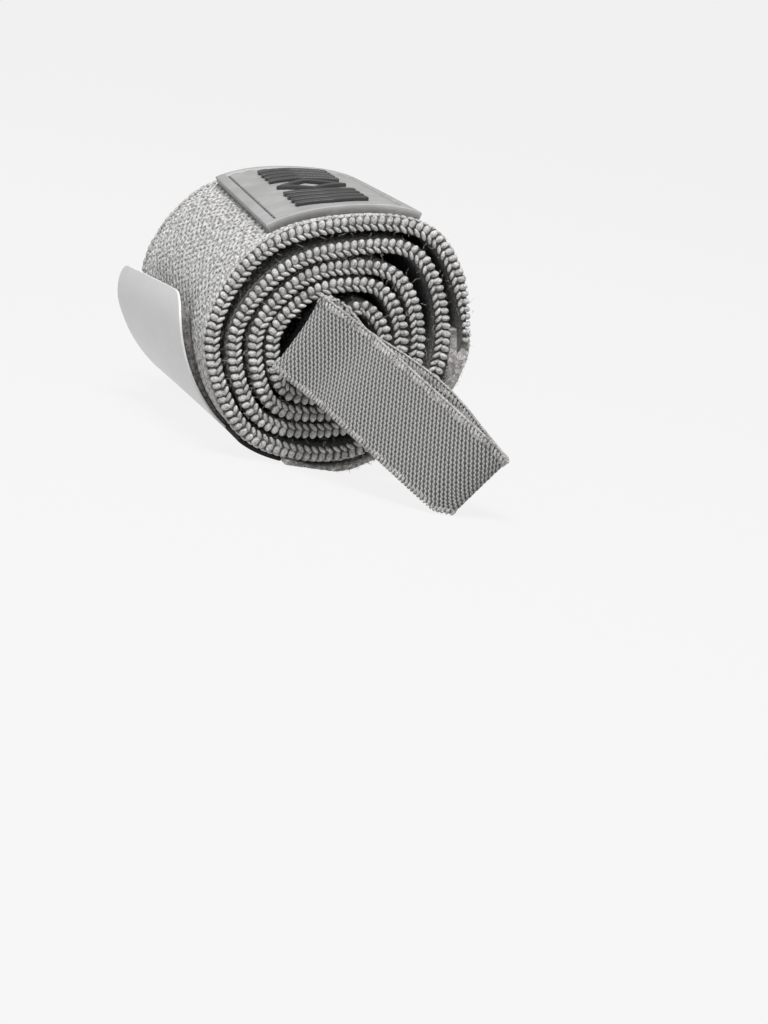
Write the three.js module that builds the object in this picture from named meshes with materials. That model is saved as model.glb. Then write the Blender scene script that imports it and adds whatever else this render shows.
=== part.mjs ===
// An elastic wrist wrap, rolled up from its thumb loop and lying on the outer turn of the roll.
// Millimetres, +Z up. The roll's axis runs along Y, with the thumb loop at the -Y end, and the
// roll stands on z = 0, flattened there by its own weight.

import * as THREE from 'three';

// The knitted band
const BAND_WIDTH = 80;
const BAND_THICKNESS = 2.8;
const EDGE_ROUND = 0.9;
const CORE_RADIUS = 9.1;
const ROLL_TWIST = 6.6;
const REST_TURN = 10;
const PLY_GAP = 0.3;
const STATION_PITCH = 2.3;

// The thin fuzzy panel sewn to the band's outer end
const PANEL_THICKNESS = 1.1;
const PANEL_MARGIN = 0.6;

// The hook tab and the woven label beside its root
const TAB_WIDTH = 50;
const TAB_THICKNESS = 0.9;
const TAB_CORNER = 7;
const TAB_PEEL = 7.2;
const LABEL_WIDTH = 13;
const LABEL_THICKNESS = 0.8;
const LABEL_GAP = 0.6;

// The moulded rubber patch
const PATCH_LENGTH = 69;
const PATCH_THICKNESS = 1.4;
const PATCH_RIM = 1.7;
const PATCH_RIM_HEIGHT = 0.35;
const PATCH_EDGE_ROUND = 0.5;
const BAR_COUNT = 4;
const BAR_WIDTH = 2.6;
const BAR_SPACE = 2.3;
const BAR_LENGTH = 13;
const BAR_SLANT = 2.4;
const MOTIF_HEIGHT = 0.5;
const MOTIF_GAP = 0.25;
const MOTIF_MARGIN = 8.6;
const LOZENGE_LENGTH = 15;
const LOZENGE_WIDTH = 13;
const LOZENGE_LINE = 2.2;

// The thumb loop of elastic ribbon
const RIBBON_WIDTH = 16.2;
const RIBBON_THICKNESS = 1.1;
const LOOP_LENGTH = 43;
const LOOP_OPENING = 7.6;
const LOOP_LEAN = 42;
const LOOP_SWAY = 6;
const LOOP_TILT = 7;
const LOOP_SHIFT = 1.4;
const TAIL_DEPTH = 10;
const TAIL_CENTRE = -2.1;
const ROOT_OUT = 3.4;
const ROOT_ASIDE = 1;
const MOUTH_DEPTH = 0.5;
const MOUTH_OUT = 1.2;

// The clock positions round the roll, seen from the loop end, and their angles from the top
const CLOCK = {
  upperRight: 45, right: 90, lowerRight: 135, bottom: 180,
  lowerLeft: 225, left: 270, upperLeft: 315, top: 360,
};

// The innermost turn: its centre line's radius as a share of CORE_RADIUS
const CORE_TURN = {
  upperRight: 0.82, right: 0.98, lowerRight: 1.08, bottom: 1.19,
  lowerLeft: 1.51, left: 1.33, upperLeft: 1.07, top: 1.06,
};

// The space under each later turn, as a share of BAND_THICKNESS
const TURN_SPACES = [
  {
    upperRight: 0.6, right: 0.15, lowerRight: 0.15, bottom: 0.15,
    lowerLeft: 0.25, left: 0.18, upperLeft: 0.15, top: 0.17,
  },
  {
    upperRight: 0.37, right: 0.15, lowerRight: 0.3, bottom: 0.15,
    lowerLeft: 0.28, left: 0.4, upperLeft: 0.27, top: 0.2,
  },
  {
    upperRight: 1.0, right: 0.7, lowerRight: 0.33, bottom: 0.63,
    lowerLeft: 0.2, left: 0.5, upperLeft: 0.83, top: 0.64,
  },
  { upperRight: 0.56, right: 0.6, lowerRight: 0.6 },
];

// The band's inner end lies straight across the core: shares of CORE_RADIUS along and beside it
const CORE_SLANT = 56.6;
const CORE_END = [
  { along: -0.82, beside: 0.12 },
  { along: -0.22, beside: 0.12 },
  { along: 0.37, beside: 0.12 },
];

// Angles round the last turn, in degrees clockwise from the top
const BAND_SKIVE_FROM = 70;
const BAND_END = 100;
const PATCH_FROM = -31.5;
const PATCH_TO = 37.6;
const PANEL_FROM = 88;
const PANEL_TO = 203.6;
const TAB_FROM = 204.6;
const TAB_TIP_NEAR = 283;
const TAB_TIP_FAR = 275;
const LABEL_FROM = 204.5;
const LABEL_TO = 224;

// The thickness left at the band's skived end, as a share of BAND_THICKNESS
const SKIVE_LEFT = 0.25;

// The panel's lift off the turn under it, as a share of BAND_THICKNESS
const PANEL_LIFT = [
  { at: 97, lift: 1.06 }, { at: 108, lift: 0.79 }, { at: 119, lift: 0.52 }, { at: 135, lift: 0.36 },
  { at: 158, lift: 0.3 }, { at: 174, lift: 0.4 }, { at: 191, lift: 0.38 }, { at: 204, lift: 0.12 },
];

// The tab's lift off the turn under it at its near and far sides, as a share of TAB_PEEL
const TAB_LIFT = [
  { at: 204, near: 0.045, far: 0.045 }, { at: 224, near: 0.05, far: 0.08 }, { at: 236, near: 0.07, far: 0.35 },
  { at: 249, near: 0.12, far: 0.62 }, { at: 262, near: 0.17, far: 0.84 }, { at: 284, near: 0.3, far: 1.0 },
];

// The fold of the loop's upper layer over the roll's face, as shares of LOOP_LENGTH out of the
// face, back over the core and aside along it
const LOOP_FOLD = [
  { out: 0.045, back: 0.02, aside: 0.01 }, { out: 0.08, back: 0.055, aside: 0.018 },
  { out: 0.125, back: 0.035, aside: 0.022 },
];

// Half the loop's opening along its length, as shares of LOOP_LENGTH and of LOOP_OPENING
const LOOP_BOW = [
  { along: 0.07, bow: 0.22 }, { along: 0.17, bow: 0.36 }, { along: 0.34, bow: 0.48 }, { along: 0.55, bow: 0.5 },
  { along: 0.78, bow: 0.44 }, { along: 0.92, bow: 0.31 },
];

const TURN_DEGREES = 360;
const KNOT_DEGREES = 45;
const LAST_TURN = TURN_DEGREES * TURN_SPACES.length;
const TURN_UNDER_PLIES = LAST_TURN - TURN_DEGREES;
const radians = THREE.MathUtils.degToRad;

const knit = new THREE.MeshStandardMaterial({ color: 0xa9a7a6, roughness: 0.95, metalness: 0 });
const fuzz = new THREE.MeshStandardMaterial({ color: 0x9a9897, roughness: 1.0, metalness: 0 });
const hookPlastic = new THREE.MeshStandardMaterial({ color: 0xc4c4c5, roughness: 0.5, metalness: 0 });
const blackTape = new THREE.MeshStandardMaterial({ color: 0x1a1a1b, roughness: 0.9, metalness: 0 });
const rubber = new THREE.MeshStandardMaterial({ color: 0xadacab, roughness: 0.55, metalness: 0 });
const darkRubber = new THREE.MeshStandardMaterial({ color: 0x37383a, roughness: 0.5, metalness: 0 });
const ribbon = new THREE.MeshStandardMaterial({ color: 0x9b9a99, roughness: 0.9, metalness: 0 });

// The value between the rows of a table whose rows are ordered by their column named key
function rowValue(table, key, column, x) {
  if (x <= table[0][key]) return table[0][column];
  const next = table.findIndex((row) => row[key] >= x);
  if (next < 0) return table[table.length - 1][column];
  const [low, high] = [table[next - 1], table[next]];
  return THREE.MathUtils.lerp(low[column], high[column], (x - low[key]) / (high[key] - low[key]));
}

// The band's centre line in the end face's plane, as a curve through knots 45 degrees apart
function spiralKnots() {
  const alongCore = new THREE.Vector2(Math.cos(radians(CORE_SLANT)), Math.sin(radians(CORE_SLANT)));
  const besideCore = new THREE.Vector2(-alongCore.y, alongCore.x);
  const knots = CORE_END.map(({ along, beside }) => new THREE.Vector3(
    (alongCore.x * along + besideCore.x * beside) * CORE_RADIUS, 0,
    (alongCore.y * along + besideCore.y * beside) * CORE_RADIUS));
  const radii = Object.fromEntries(Object.keys(CLOCK).map((name) => [name, CORE_TURN[name] * CORE_RADIUS]));
  const addTurn = (names) => names.forEach((name) => {
    const angle = radians(CLOCK[name]);
    knots.push(new THREE.Vector3(Math.sin(angle) * radii[name], 0, Math.cos(angle) * radii[name]));
  });
  addTurn(Object.keys(CLOCK));
  for (const spaces of TURN_SPACES) {
    for (const name of Object.keys(spaces)) radii[name] += BAND_THICKNESS * (1 + spaces[name]);
    addTurn(Object.keys(spaces));
  }
  return knots;
}

const SPIRAL_KNOTS = spiralKnots();
const SPIRAL = new THREE.CatmullRomCurve3(SPIRAL_KNOTS, false, 'catmullrom', 0.5);

// The curve's parameter at an angle counted from the top of the innermost turn
function parameterAt(angle) {
  return (CORE_END.length - 1 + angle / KNOT_DEGREES) / (SPIRAL_KNOTS.length - 1);
}

// A point of the roll before it is laid down: at a curve parameter, a distance outward from the
// centre line and a place along the roll
function spiralPoint(parameter, outward, y) {
  const point = SPIRAL.getPoint(parameter);
  const tangent = SPIRAL.getTangent(parameter);
  return new THREE.Vector3(point.x - tangent.z * outward, y, point.z + tangent.x * outward);
}

// The roll stands on the panel at this angle, and its weight presses the panel's outer face flat
const REST_ANGLE = 185;
const REST_PRESS = 0.38;
const REST_DEPTH = restDepth();
function restDepth() {
  const outward = BAND_THICKNESS * (0.5 + rowValue(PANEL_LIFT, 'at', 'lift', REST_ANGLE)) + PANEL_THICKNESS;
  const point = spiralPoint(parameterAt(TURN_UNDER_PLIES + REST_ANGLE), outward, 0);
  return Math.hypot(point.x, point.z) - REST_PRESS * PANEL_THICKNESS;
}

// Turns a point of the roll by its twist and its rest turn, and lays it on z = 0
function layDown(point) {
  const share = THREE.MathUtils.clamp(point.y / BAND_WIDTH + 0.5, 0, 1);
  const turn = radians(ROLL_TWIST * share - REST_TURN);
  const turned = point.clone().applyAxisAngle(new THREE.Vector3(0, 1, 0), turn);
  turned.z = Math.max(turned.z + REST_DEPTH, 0);
  return turned;
}

function closedMesh(name, points, faces, material) {
  const geometry = new THREE.BufferGeometry().setFromPoints(points);
  let volume = 0;
  for (const [a, b, c] of faces) {
    volume += points[a].dot(points[b].clone().cross(points[c]));
  }
  geometry.setIndex(faces.flatMap(([a, b, c]) => (volume > 0 ? [a, b, c] : [a, c, b])));
  geometry.computeVertexNormals();
  const mesh = new THREE.Mesh(geometry, material);
  mesh.name = name;
  return mesh;
}

// A solid through equal rings of points, closed by a flat face at each end
function sweptSolid(name, rings, material) {
  const count = rings[0].length;
  const faces = [];
  for (let i = 0; i + 1 < rings.length; i++) {
    for (let j = 0; j < count; j++) {
      const [a, b] = [i * count + j, i * count + ((j + 1) % count)];
      faces.push([a, b, b + count], [a, b + count, a + count]);
    }
  }
  const last = (rings.length - 1) * count;
  for (let j = 1; j + 1 < count; j++) {
    faces.push([0, j + 1, j], [last, last + j, last + j + 1]);
  }
  return closedMesh(name, rings.flat(), faces, material);
}

// A sheet with a wall: place(row, column, face) gives its points, face 0 inside and 1 outside
function sheetSolid(name, rows, columns, place, material) {
  const points = [];
  const index = (i, j, face) => (face * rows.length + i) * columns.length + j;
  for (const face of [0, 1]) {
    for (const row of rows) for (const column of columns) points.push(place(row, column, face));
  }
  const faces = [];
  const quad = (a, b, c, d) => faces.push([a, b, c], [a, c, d]);
  for (let i = 0; i + 1 < rows.length; i++) {
    for (let j = 0; j + 1 < columns.length; j++) {
      quad(index(i, j, 0), index(i, j + 1, 0), index(i + 1, j + 1, 0), index(i + 1, j, 0));
      quad(index(i, j, 1), index(i + 1, j, 1), index(i + 1, j + 1, 1), index(i, j + 1, 1));
    }
  }
  const [lastRow, lastColumn] = [rows.length - 1, columns.length - 1];
  for (let i = 0; i < lastRow; i++) {
    quad(index(i, 0, 0), index(i + 1, 0, 0), index(i + 1, 0, 1), index(i, 0, 1));
    const [low, high] = [index(i, lastColumn, 0), index(i, lastColumn, 1)];
    quad(low + columns.length, low, high, high + columns.length);
  }
  for (let j = 0; j < lastColumn; j++) {
    quad(index(0, j + 1, 0), index(0, j, 0), index(0, j, 1), index(0, j + 1, 1));
    quad(index(lastRow, j, 0), index(lastRow, j + 1, 0), index(lastRow, j + 1, 1), index(lastRow, j, 1));
  }
  return closedMesh(name, points, faces, material);
}

// Evenly spaced numbers from low to high, with no step longer than pitch
function spaced(low, high, pitch) {
  const steps = Math.max(1, Math.ceil(Math.abs(high - low) / pitch));
  return Array.from({ length: steps + 1 }, (unused, i) => THREE.MathUtils.lerp(low, high, i / steps));
}

// The band: eight points to a section, full inside the roll and skived thin at its outer end
function band() {
  const end = parameterAt(LAST_TURN + BAND_END);
  const skive = parameterAt(LAST_TURN + BAND_SKIVE_FROM);
  const stations = Math.ceil(SPIRAL.getLength() / STATION_PITCH);
  const half = BAND_WIDTH / 2;
  const ring = (parameter) => {
    const thin = THREE.MathUtils.clamp((parameter - skive) / (end - skive), 0, 1);
    const outer = BAND_THICKNESS * (0.5 - (1 - SKIVE_LEFT) * thin);
    const inner = -BAND_THICKNESS / 2;
    const quarter = (outer - inner) / 4;
    const side = [
      [outer, half - EDGE_ROUND], [outer - quarter, half], [inner + quarter, half], [inner, half - EDGE_ROUND],
    ];
    const section = [...side.map(([outward, y]) => [outward, -y]), ...side.reverse()];
    return section.map(([outward, y]) => layDown(spiralPoint(parameter, outward, y)));
  };
  const parameters = [];
  const lengths = SPIRAL.getLengths(stations * 4);
  const total = lengths[lengths.length - 1];
  for (let i = 0; i <= stations; i++) {
    const parameter = SPIRAL.getUtoTmapping(0, (i / stations) * total);
    if (parameter < end - 0.3 / stations) parameters.push(parameter);
  }
  return sweptSolid('band', [...parameters, end].map(ring), knit);
}

// The outward distance of a ply's inner face from the centre line of the turn under it
function plyInner(lift) {
  return BAND_THICKNESS / 2 + lift;
}

function panelLift(angle) {
  const skived = (1 - SKIVE_LEFT) * (PANEL_FROM - BAND_SKIVE_FROM) / (BAND_END - BAND_SKIVE_FROM);
  const lapped = 1 + TURN_SPACES[TURN_SPACES.length - 1].right - skived;
  const table = [{ at: PANEL_FROM, lift: lapped + PLY_GAP / BAND_THICKNESS }, ...PANEL_LIFT];
  return Math.max(PLY_GAP, BAND_THICKNESS * rowValue(table, 'at', 'lift', angle));
}

function endPanel() {
  const half = BAND_WIDTH / 2 - PANEL_MARGIN;
  const degreesPerStation = 5;
  const rows = spaced(PANEL_FROM, PANEL_TO, degreesPerStation);
  return sheetSolid('end_panel', rows, [-half, 0, half], (angle, y, face) => {
    const outward = plyInner(panelLift(angle)) + face * PANEL_THICKNESS;
    return layDown(spiralPoint(parameterAt(TURN_UNDER_PLIES + angle), outward, y));
  }, fuzz);
}

function tabLift(angle, y) {
  const far = THREE.MathUtils.clamp(y / TAB_WIDTH + 0.5, 0, 1);
  const near = rowValue(TAB_LIFT, 'at', 'near', angle);
  return Math.max(PLY_GAP, TAB_PEEL * THREE.MathUtils.lerp(near, rowValue(TAB_LIFT, 'at', 'far', angle), far));
}

// The hook tab: sewn at its root, peeling off the roll at its tip, with rounded corners there
function hookTab() {
  const reach = (TAB_TIP_NEAR - TAB_FROM) * Math.PI / 180 * REST_DEPTH;
  const rows = [...spaced(0, 1 - TAB_CORNER / reach, 0.075), ...[30, 60, 80, 90].map((turn) => (
    1 - (TAB_CORNER / reach) * (1 - Math.sin(radians(turn)))))];
  const columns = [-1, -0.75, -0.5, -0.25, 0, 0.25, 0.5, 0.75, 1];
  return sheetSolid('hook_tab', rows, columns, (row, column, face) => {
    const past = Math.max(0, 1 - (1 - row) * reach / TAB_CORNER);
    const half = TAB_WIDTH / 2 - TAB_CORNER * (1 - Math.sqrt(Math.max(0, 1 - past * past)));
    const y = column * half;
    const tip = THREE.MathUtils.lerp(TAB_TIP_NEAR, TAB_TIP_FAR, y / TAB_WIDTH + 0.5);
    const angle = THREE.MathUtils.lerp(TAB_FROM, tip, row);
    return layDown(spiralPoint(
      parameterAt(TURN_UNDER_PLIES + angle), plyInner(tabLift(angle, y)) + face * TAB_THICKNESS, y));
  }, hookPlastic);
}

// The label lies beside the tab's root, at the near edge of the roll
function tabLabel() {
  const far = -TAB_WIDTH / 2 - LABEL_GAP;
  return sheetSolid('tab_label', spaced(LABEL_FROM, LABEL_TO, 3), [far - LABEL_WIDTH, far], (angle, y, face) => {
    const outward = plyInner(PLY_GAP) + face * LABEL_THICKNESS;
    return layDown(spiralPoint(parameterAt(TURN_UNDER_PLIES + angle), outward, y));
  }, blackTape);
}

// The height of the patch's top above its underside, a distance in from its nearest edge
function patchTop(inset) {
  if (inset < PATCH_EDGE_ROUND) return PATCH_THICKNESS - PATCH_EDGE_ROUND * (1 - inset / PATCH_EDGE_ROUND);
  return inset <= PATCH_RIM ? PATCH_THICKNESS : PATCH_THICKNESS - PATCH_RIM_HEIGHT;
}

// A place on the patch: across its width from the near end of its arc, along the roll, and up
function onPatch(across, along, up) {
  const parameter = THREE.MathUtils.lerp(
    parameterAt(LAST_TURN + PATCH_FROM), parameterAt(LAST_TURN + PATCH_TO), across);
  return layDown(spiralPoint(parameter, BAND_THICKNESS / 2 + PLY_GAP + up, along));
}

function patchWidth() {
  const steps = 24;
  const at = (i) => SPIRAL.getPoint(THREE.MathUtils.lerp(
    parameterAt(LAST_TURN + PATCH_FROM), parameterAt(LAST_TURN + PATCH_TO), i / steps));
  const chords = Array.from({ length: steps }, (unused, i) => at(i).distanceTo(at(i + 1)));
  return chords.reduce((sum, chord) => sum + chord, 0);
}

function patch() {
  const width = patchWidth();
  const steps = [0, PATCH_EDGE_ROUND, PATCH_RIM, PATCH_RIM + PATCH_RIM_HEIGHT];
  const rim = steps[steps.length - 1];
  const inside = spaced(rim, width - rim, width / 10).slice(1, -1);
  const across = [...steps, ...inside, ...steps.map((s) => width - s).reverse()];
  const along = [...steps, PATCH_LENGTH / 2, ...steps.map((s) => PATCH_LENGTH - s).reverse()];
  return sheetSolid('patch', across, along, (a, l, face) => {
    const inset = Math.min(a, width - a, l, PATCH_LENGTH - l);
    return onPatch(a / width, l - PATCH_LENGTH / 2, face * patchTop(inset));
  }, rubber);
}

// The raised motif: a lozenge ring in the middle with slanted bars beside it
function motif() {
  const width = patchWidth();
  const floor = PATCH_THICKNESS - PATCH_RIM_HEIGHT + MOTIF_GAP;
  const pieces = [];
  for (let k = 0; k < 2 * BAR_COUNT; k++) {
    const side = k < BAR_COUNT ? -1 : 1;
    const step = k % BAR_COUNT;
    const first = LOZENGE_LENGTH / 2 + BAR_SPACE + BAR_WIDTH / 2 - BAR_SLANT / 2;
    const last = PATCH_LENGTH / 2 - MOTIF_MARGIN - BAR_WIDTH / 2;
    const middle = side * THREE.MathUtils.lerp(first, last, step / (BAR_COUNT - 1));
    const rows = spaced(-BAR_LENGTH / 2, BAR_LENGTH / 2, BAR_LENGTH / 5);
    const columns = [-BAR_WIDTH / 2, BAR_WIDTH / 2];
    pieces.push(sheetSolid(`patch_bar_${k + 1}`, rows, columns, (a, l, face) => {
      const slant = side * BAR_SLANT * (Math.abs(a) / BAR_LENGTH - 0.5);
      return onPatch(0.5 + a / width, middle + l - slant, floor + face * MOTIF_HEIGHT);
    }, darkRubber));
  }
  const rings = [];
  for (let i = 0; i <= 4; i++) {
    const corner = [[1, 0], [0, 1], [-1, 0], [0, -1]][i % 4];
    const outer = [corner[0] * LOZENGE_WIDTH / 2, corner[1] * LOZENGE_LENGTH / 2];
    const inner = [outer[0] - corner[0] * LOZENGE_LINE, outer[1] - corner[1] * LOZENGE_LINE];
    rings.push([[outer, 0], [outer, 1], [inner, 1], [inner, 0]].map(([[a, l], face]) => (
      onPatch(0.5 + a / width, l, floor + face * MOTIF_HEIGHT))));
  }
  pieces.push(ringSolid('patch_lozenge', rings.slice(0, 4), darkRubber));
  return pieces;
}

// A solid through rings of points that come back to the first ring
function ringSolid(name, rings, material) {
  const [turns, count] = [rings.length, rings[0].length];
  const faces = [];
  for (let i = 0; i < turns; i++) {
    const next = (i + 1) % turns;
    for (let j = 0; j < count; j++) {
      const k = (j + 1) % count;
      const [a, b, c, d] = [i * count + j, i * count + k, next * count + k, next * count + j];
      faces.push([a, b, c], [a, c, d]);
    }
  }
  return closedMesh(name, rings.flat(), faces, material);
}

// The thumb loop: two tails side by side in the core, and a bowed loop that leans to the lower right
function thumbLoop() {
  const alongCore = new THREE.Vector3(Math.cos(radians(CORE_SLANT)), 0, Math.sin(radians(CORE_SLANT)));
  const over = new THREE.Vector3(Math.sin(radians(CORE_SLANT)), 0, -Math.cos(radians(CORE_SLANT)));
  const out = new THREE.Vector3(0, -1, 0);
  const lean = radians(LOOP_LEAN);
  const lengthwise = over.clone().multiplyScalar(Math.cos(lean)).addScaledVector(out, Math.sin(lean))
    .addScaledVector(alongCore, -LOOP_SWAY / LOOP_LENGTH).normalize();
  const across = alongCore.clone().addScaledVector(lengthwise, -alongCore.dot(lengthwise)).normalize();
  const facing = across.clone().cross(lengthwise).normalize();
  const tilt = radians(LOOP_TILT);
  const crosswise = across.clone().multiplyScalar(Math.cos(tilt)).addScaledVector(facing, Math.sin(tilt));
  const toward = lengthwise.clone().cross(crosswise).normalize();
  const layer = RIBBON_THICKNESS + PLY_GAP;
  const firstTail = CORE_END[0].beside * CORE_RADIUS + BAND_THICKNESS / 2 + PLY_GAP + RIBBON_THICKNESS / 2;
  const face = new THREE.Vector3(0, -BAND_WIDTH / 2, 0);
  const tail = (side, depth) => face.clone().addScaledVector(over, -(firstTail + side * layer))
    .addScaledVector(alongCore, TAIL_CENTRE).addScaledVector(out, -depth);
  const root = face.clone().addScaledVector(over, layer / 2 - firstTail)
    .addScaledVector(alongCore, TAIL_CENTRE - ROOT_ASIDE).addScaledVector(out, ROOT_OUT);
  const body = (side, { along, bow }) => root.clone().addScaledVector(lengthwise, along * LOOP_LENGTH)
    .addScaledVector(toward, side * bow * (LOOP_OPENING + RIBBON_THICKNESS))
    .addScaledVector(across, side < 0 ? LOOP_SHIFT * Math.sin(Math.PI * along) ** 2 : 0);
  const tip = root.clone().addScaledVector(lengthwise, LOOP_LENGTH);
  const fold = LOOP_FOLD.map((row) => tail(1, -row.out * LOOP_LENGTH)
    .addScaledVector(over, -row.back * LOOP_LENGTH).addScaledVector(alongCore, -row.aside * LOOP_LENGTH));
  const route = new THREE.CatmullRomCurve3([
    tail(1, TAIL_DEPTH), tail(1, TAIL_DEPTH / 2), tail(1, MOUTH_DEPTH), ...fold,
    ...LOOP_BOW.slice(1).map((row) => body(1, row)), tip,
    ...LOOP_BOW.map((row) => body(-1, row)).reverse(), tail(0, -MOUTH_OUT), tail(0, MOUTH_DEPTH),
    tail(0, TAIL_DEPTH / 2), tail(0, TAIL_DEPTH),
  ], false, 'centripetal');
  const stations = Math.ceil(route.getLength() / STATION_PITCH);
  const rings = route.getSpacedPoints(stations * 2).map((point, i) => {
    const tangent = route.getTangentAt(i / (stations * 2));
    const outness = THREE.MathUtils.clamp((-BAND_WIDTH / 2 - point.y) / (LOOP_LENGTH / 4), 0, 1);
    const wide = alongCore.clone().lerp(crosswise, outness);
    wide.addScaledVector(tangent, -wide.dot(tangent)).normalize();
    const thick = wide.clone().cross(tangent).normalize();
    return [[-0.5, -0.5], [0.5, -0.5], [0.5, 0.5], [-0.5, 0.5]].map(([w, t]) => layDown(
      point.clone().addScaledVector(wide, w * RIBBON_WIDTH).addScaledVector(thick, t * RIBBON_THICKNESS)));
  });
  return sweptSolid('thumb_loop', rings, ribbon);
}

const wristWrap = new THREE.Group();
wristWrap.add(band(), endPanel(), hookTab(), tabLabel(), patch(), ...motif(), thumbLoop());
export default wristWrap;
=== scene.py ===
"""A rolled elastic wrist wrap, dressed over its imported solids.

Metres, +Z up. The roll lies along Y with its thumb loop at the -Y end and stands on z = 0.
"""

from __future__ import annotations

import logging
import math
import random
from collections.abc import Callable
from dataclasses import dataclass, field
from enum import Enum
from typing import ClassVar

import bmesh
import bpy
import numpy as np
from mathutils import Matrix, Vector

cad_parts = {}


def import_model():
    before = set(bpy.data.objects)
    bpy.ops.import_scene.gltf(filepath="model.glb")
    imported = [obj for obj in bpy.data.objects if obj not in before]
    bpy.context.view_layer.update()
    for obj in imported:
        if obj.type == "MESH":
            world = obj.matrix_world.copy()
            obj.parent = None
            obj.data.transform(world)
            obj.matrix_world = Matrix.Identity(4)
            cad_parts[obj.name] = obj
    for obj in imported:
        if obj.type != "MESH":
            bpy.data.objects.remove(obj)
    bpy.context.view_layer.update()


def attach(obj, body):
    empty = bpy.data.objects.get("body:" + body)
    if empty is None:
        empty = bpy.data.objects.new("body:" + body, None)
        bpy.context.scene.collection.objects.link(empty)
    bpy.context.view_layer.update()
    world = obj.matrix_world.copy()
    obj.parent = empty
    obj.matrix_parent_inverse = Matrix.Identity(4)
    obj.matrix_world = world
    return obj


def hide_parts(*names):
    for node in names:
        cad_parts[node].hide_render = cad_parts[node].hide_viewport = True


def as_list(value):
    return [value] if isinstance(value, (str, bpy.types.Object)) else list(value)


MM = 0.001
PATTERN_MAP = "pattern"
KNOT_DEGREES = 45.0
TURN_DEGREES = 360.0
STEP = 1e-4
EDGE_SEGMENTS = 2
SOFT_EDGE = 0.2 * MM
SHARP_DEGREES = 50
log = logging.getLogger("wrist_wrap")


class Slot(Enum):
    """Names for the kinds of finish that the pieces are made with."""

    KNIT = "knit"
    PILE = "loop_pile"
    HOOK_PLASTIC = "hook_plastic"
    BLACK_TAPE = "black_tape"
    PATCH_RUBBER = "patch_rubber"
    MOTIF_RUBBER = "motif_rubber"
    RIBBON = "ribbon"


class Clock(Enum):
    """Places round the roll, seen from the loop end, as angles clockwise from the top."""

    UPPER_RIGHT = 45
    RIGHT = 90
    LOWER_RIGHT = 135
    BOTTOM = 180
    LOWER_LEFT = 225
    LEFT = 270
    UPPER_LEFT = 315
    TOP = 360


@dataclass(frozen=True)
class Row:
    """One row of a table: a place, and the values at its near and far sides."""

    at: float
    near: float
    far: float | None = None

    @property
    def other(self) -> float:
        """The value at the far side, which is the near one where none is given."""
        return self.near if self.far is None else self.far


def row_value(table: tuple[Row, ...], at: np.ndarray, far: bool = False) -> np.ndarray:
    """Reads a table between its rows.

    Args:
        table: The rows, ordered by place.
        at: The places to read at.
        far: Whether the far side's column is read.

    Returns:
        The value at each place.
    """
    values = [row.other if far else row.near for row in table]
    return np.interp(at, [row.at for row in table], values)


def unit(vector: np.ndarray) -> np.ndarray:
    """A vector made one long."""
    return vector / np.linalg.norm(vector)


def ease(share: np.ndarray) -> np.ndarray:
    """A smooth rise from 0 to 1, level at both ends."""
    return share * share * (3 - 2 * share)


class SmoothCurve:
    """A Catmull-Rom curve through points, sampled finely, with its length along it."""

    SAMPLES_PER_SPAN = 100

    def __init__(self, points: np.ndarray, centripetal: bool) -> None:
        """Samples the curve.

        Args:
            points: The points it passes through, one to a row.
            centripetal: Whether the spans follow the points' distances.
        """
        first = 2 * points[0] - points[1]
        last = 2 * points[-1] - points[-2]
        padded = np.vstack([first, points, last])
        spans = len(points) - 1
        share = np.linspace(0, 1, self.SAMPLES_PER_SPAN, endpoint=False)
        pieces = [self._span(padded[i:i + 4], share, centripetal) for i in range(spans)]
        self.points = np.vstack([*pieces, points[-1:]])
        self.parameters = np.linspace(0, 1, len(self.points))
        steps = np.linalg.norm(np.diff(self.points, axis=0), axis=1)
        self.lengths = np.concatenate([[0], np.cumsum(steps)])
        slopes = np.gradient(self.points, axis=0)
        self.tangents = slopes / np.linalg.norm(slopes, axis=1, keepdims=True)

    @staticmethod
    def _span(four: np.ndarray, share: np.ndarray, centripetal: bool) -> np.ndarray:
        """Points on one span.

        Args:
            four: The span's two ends with their neighbours.
            share: Places along the span, from 0 to 1.
            centripetal: Whether the span follows the points' distances.

        Returns:
            One point for each place.
        """
        before, start, end, after = four
        if centripetal:
            low, middle, high = np.sqrt(np.linalg.norm(np.diff(four, axis=0), axis=1))
            straight = (end - start) / middle
            out = ((start - before) / low - (end - before) / (low + middle) + straight) * middle
            into = (straight - (after - start) / (middle + high) + (after - end) / high) * middle
        else:
            out, into = (end - before) / 2, (after - start) / 2
        t = share[:, None]
        return (start + out * t + (3 * (end - start) - 2 * out - into) * t**2
                + (2 * (start - end) + out + into) * t**3)

    def at(self, parameters: np.ndarray) -> tuple[np.ndarray, np.ndarray]:
        """Points and tangents on the curve.

        Args:
            parameters: Places from 0 to 1.

        Returns:
            One point and one tangent for each place.
        """
        columns = range(self.points.shape[1])
        points = [np.interp(parameters, self.parameters, self.points[:, c]) for c in columns]
        tangents = [np.interp(parameters, self.parameters, self.tangents[:, c]) for c in columns]
        return np.stack(points, -1), np.stack(tangents, -1)

    def parameter_at_length(self, lengths: np.ndarray) -> np.ndarray:
        """Parameters at lengths along the curve."""
        return np.interp(lengths, self.lengths, self.parameters)

    def length_at(self, parameters: np.ndarray) -> np.ndarray:
        """Lengths along the curve at parameters."""
        return np.interp(parameters, self.parameters, self.lengths)


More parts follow.
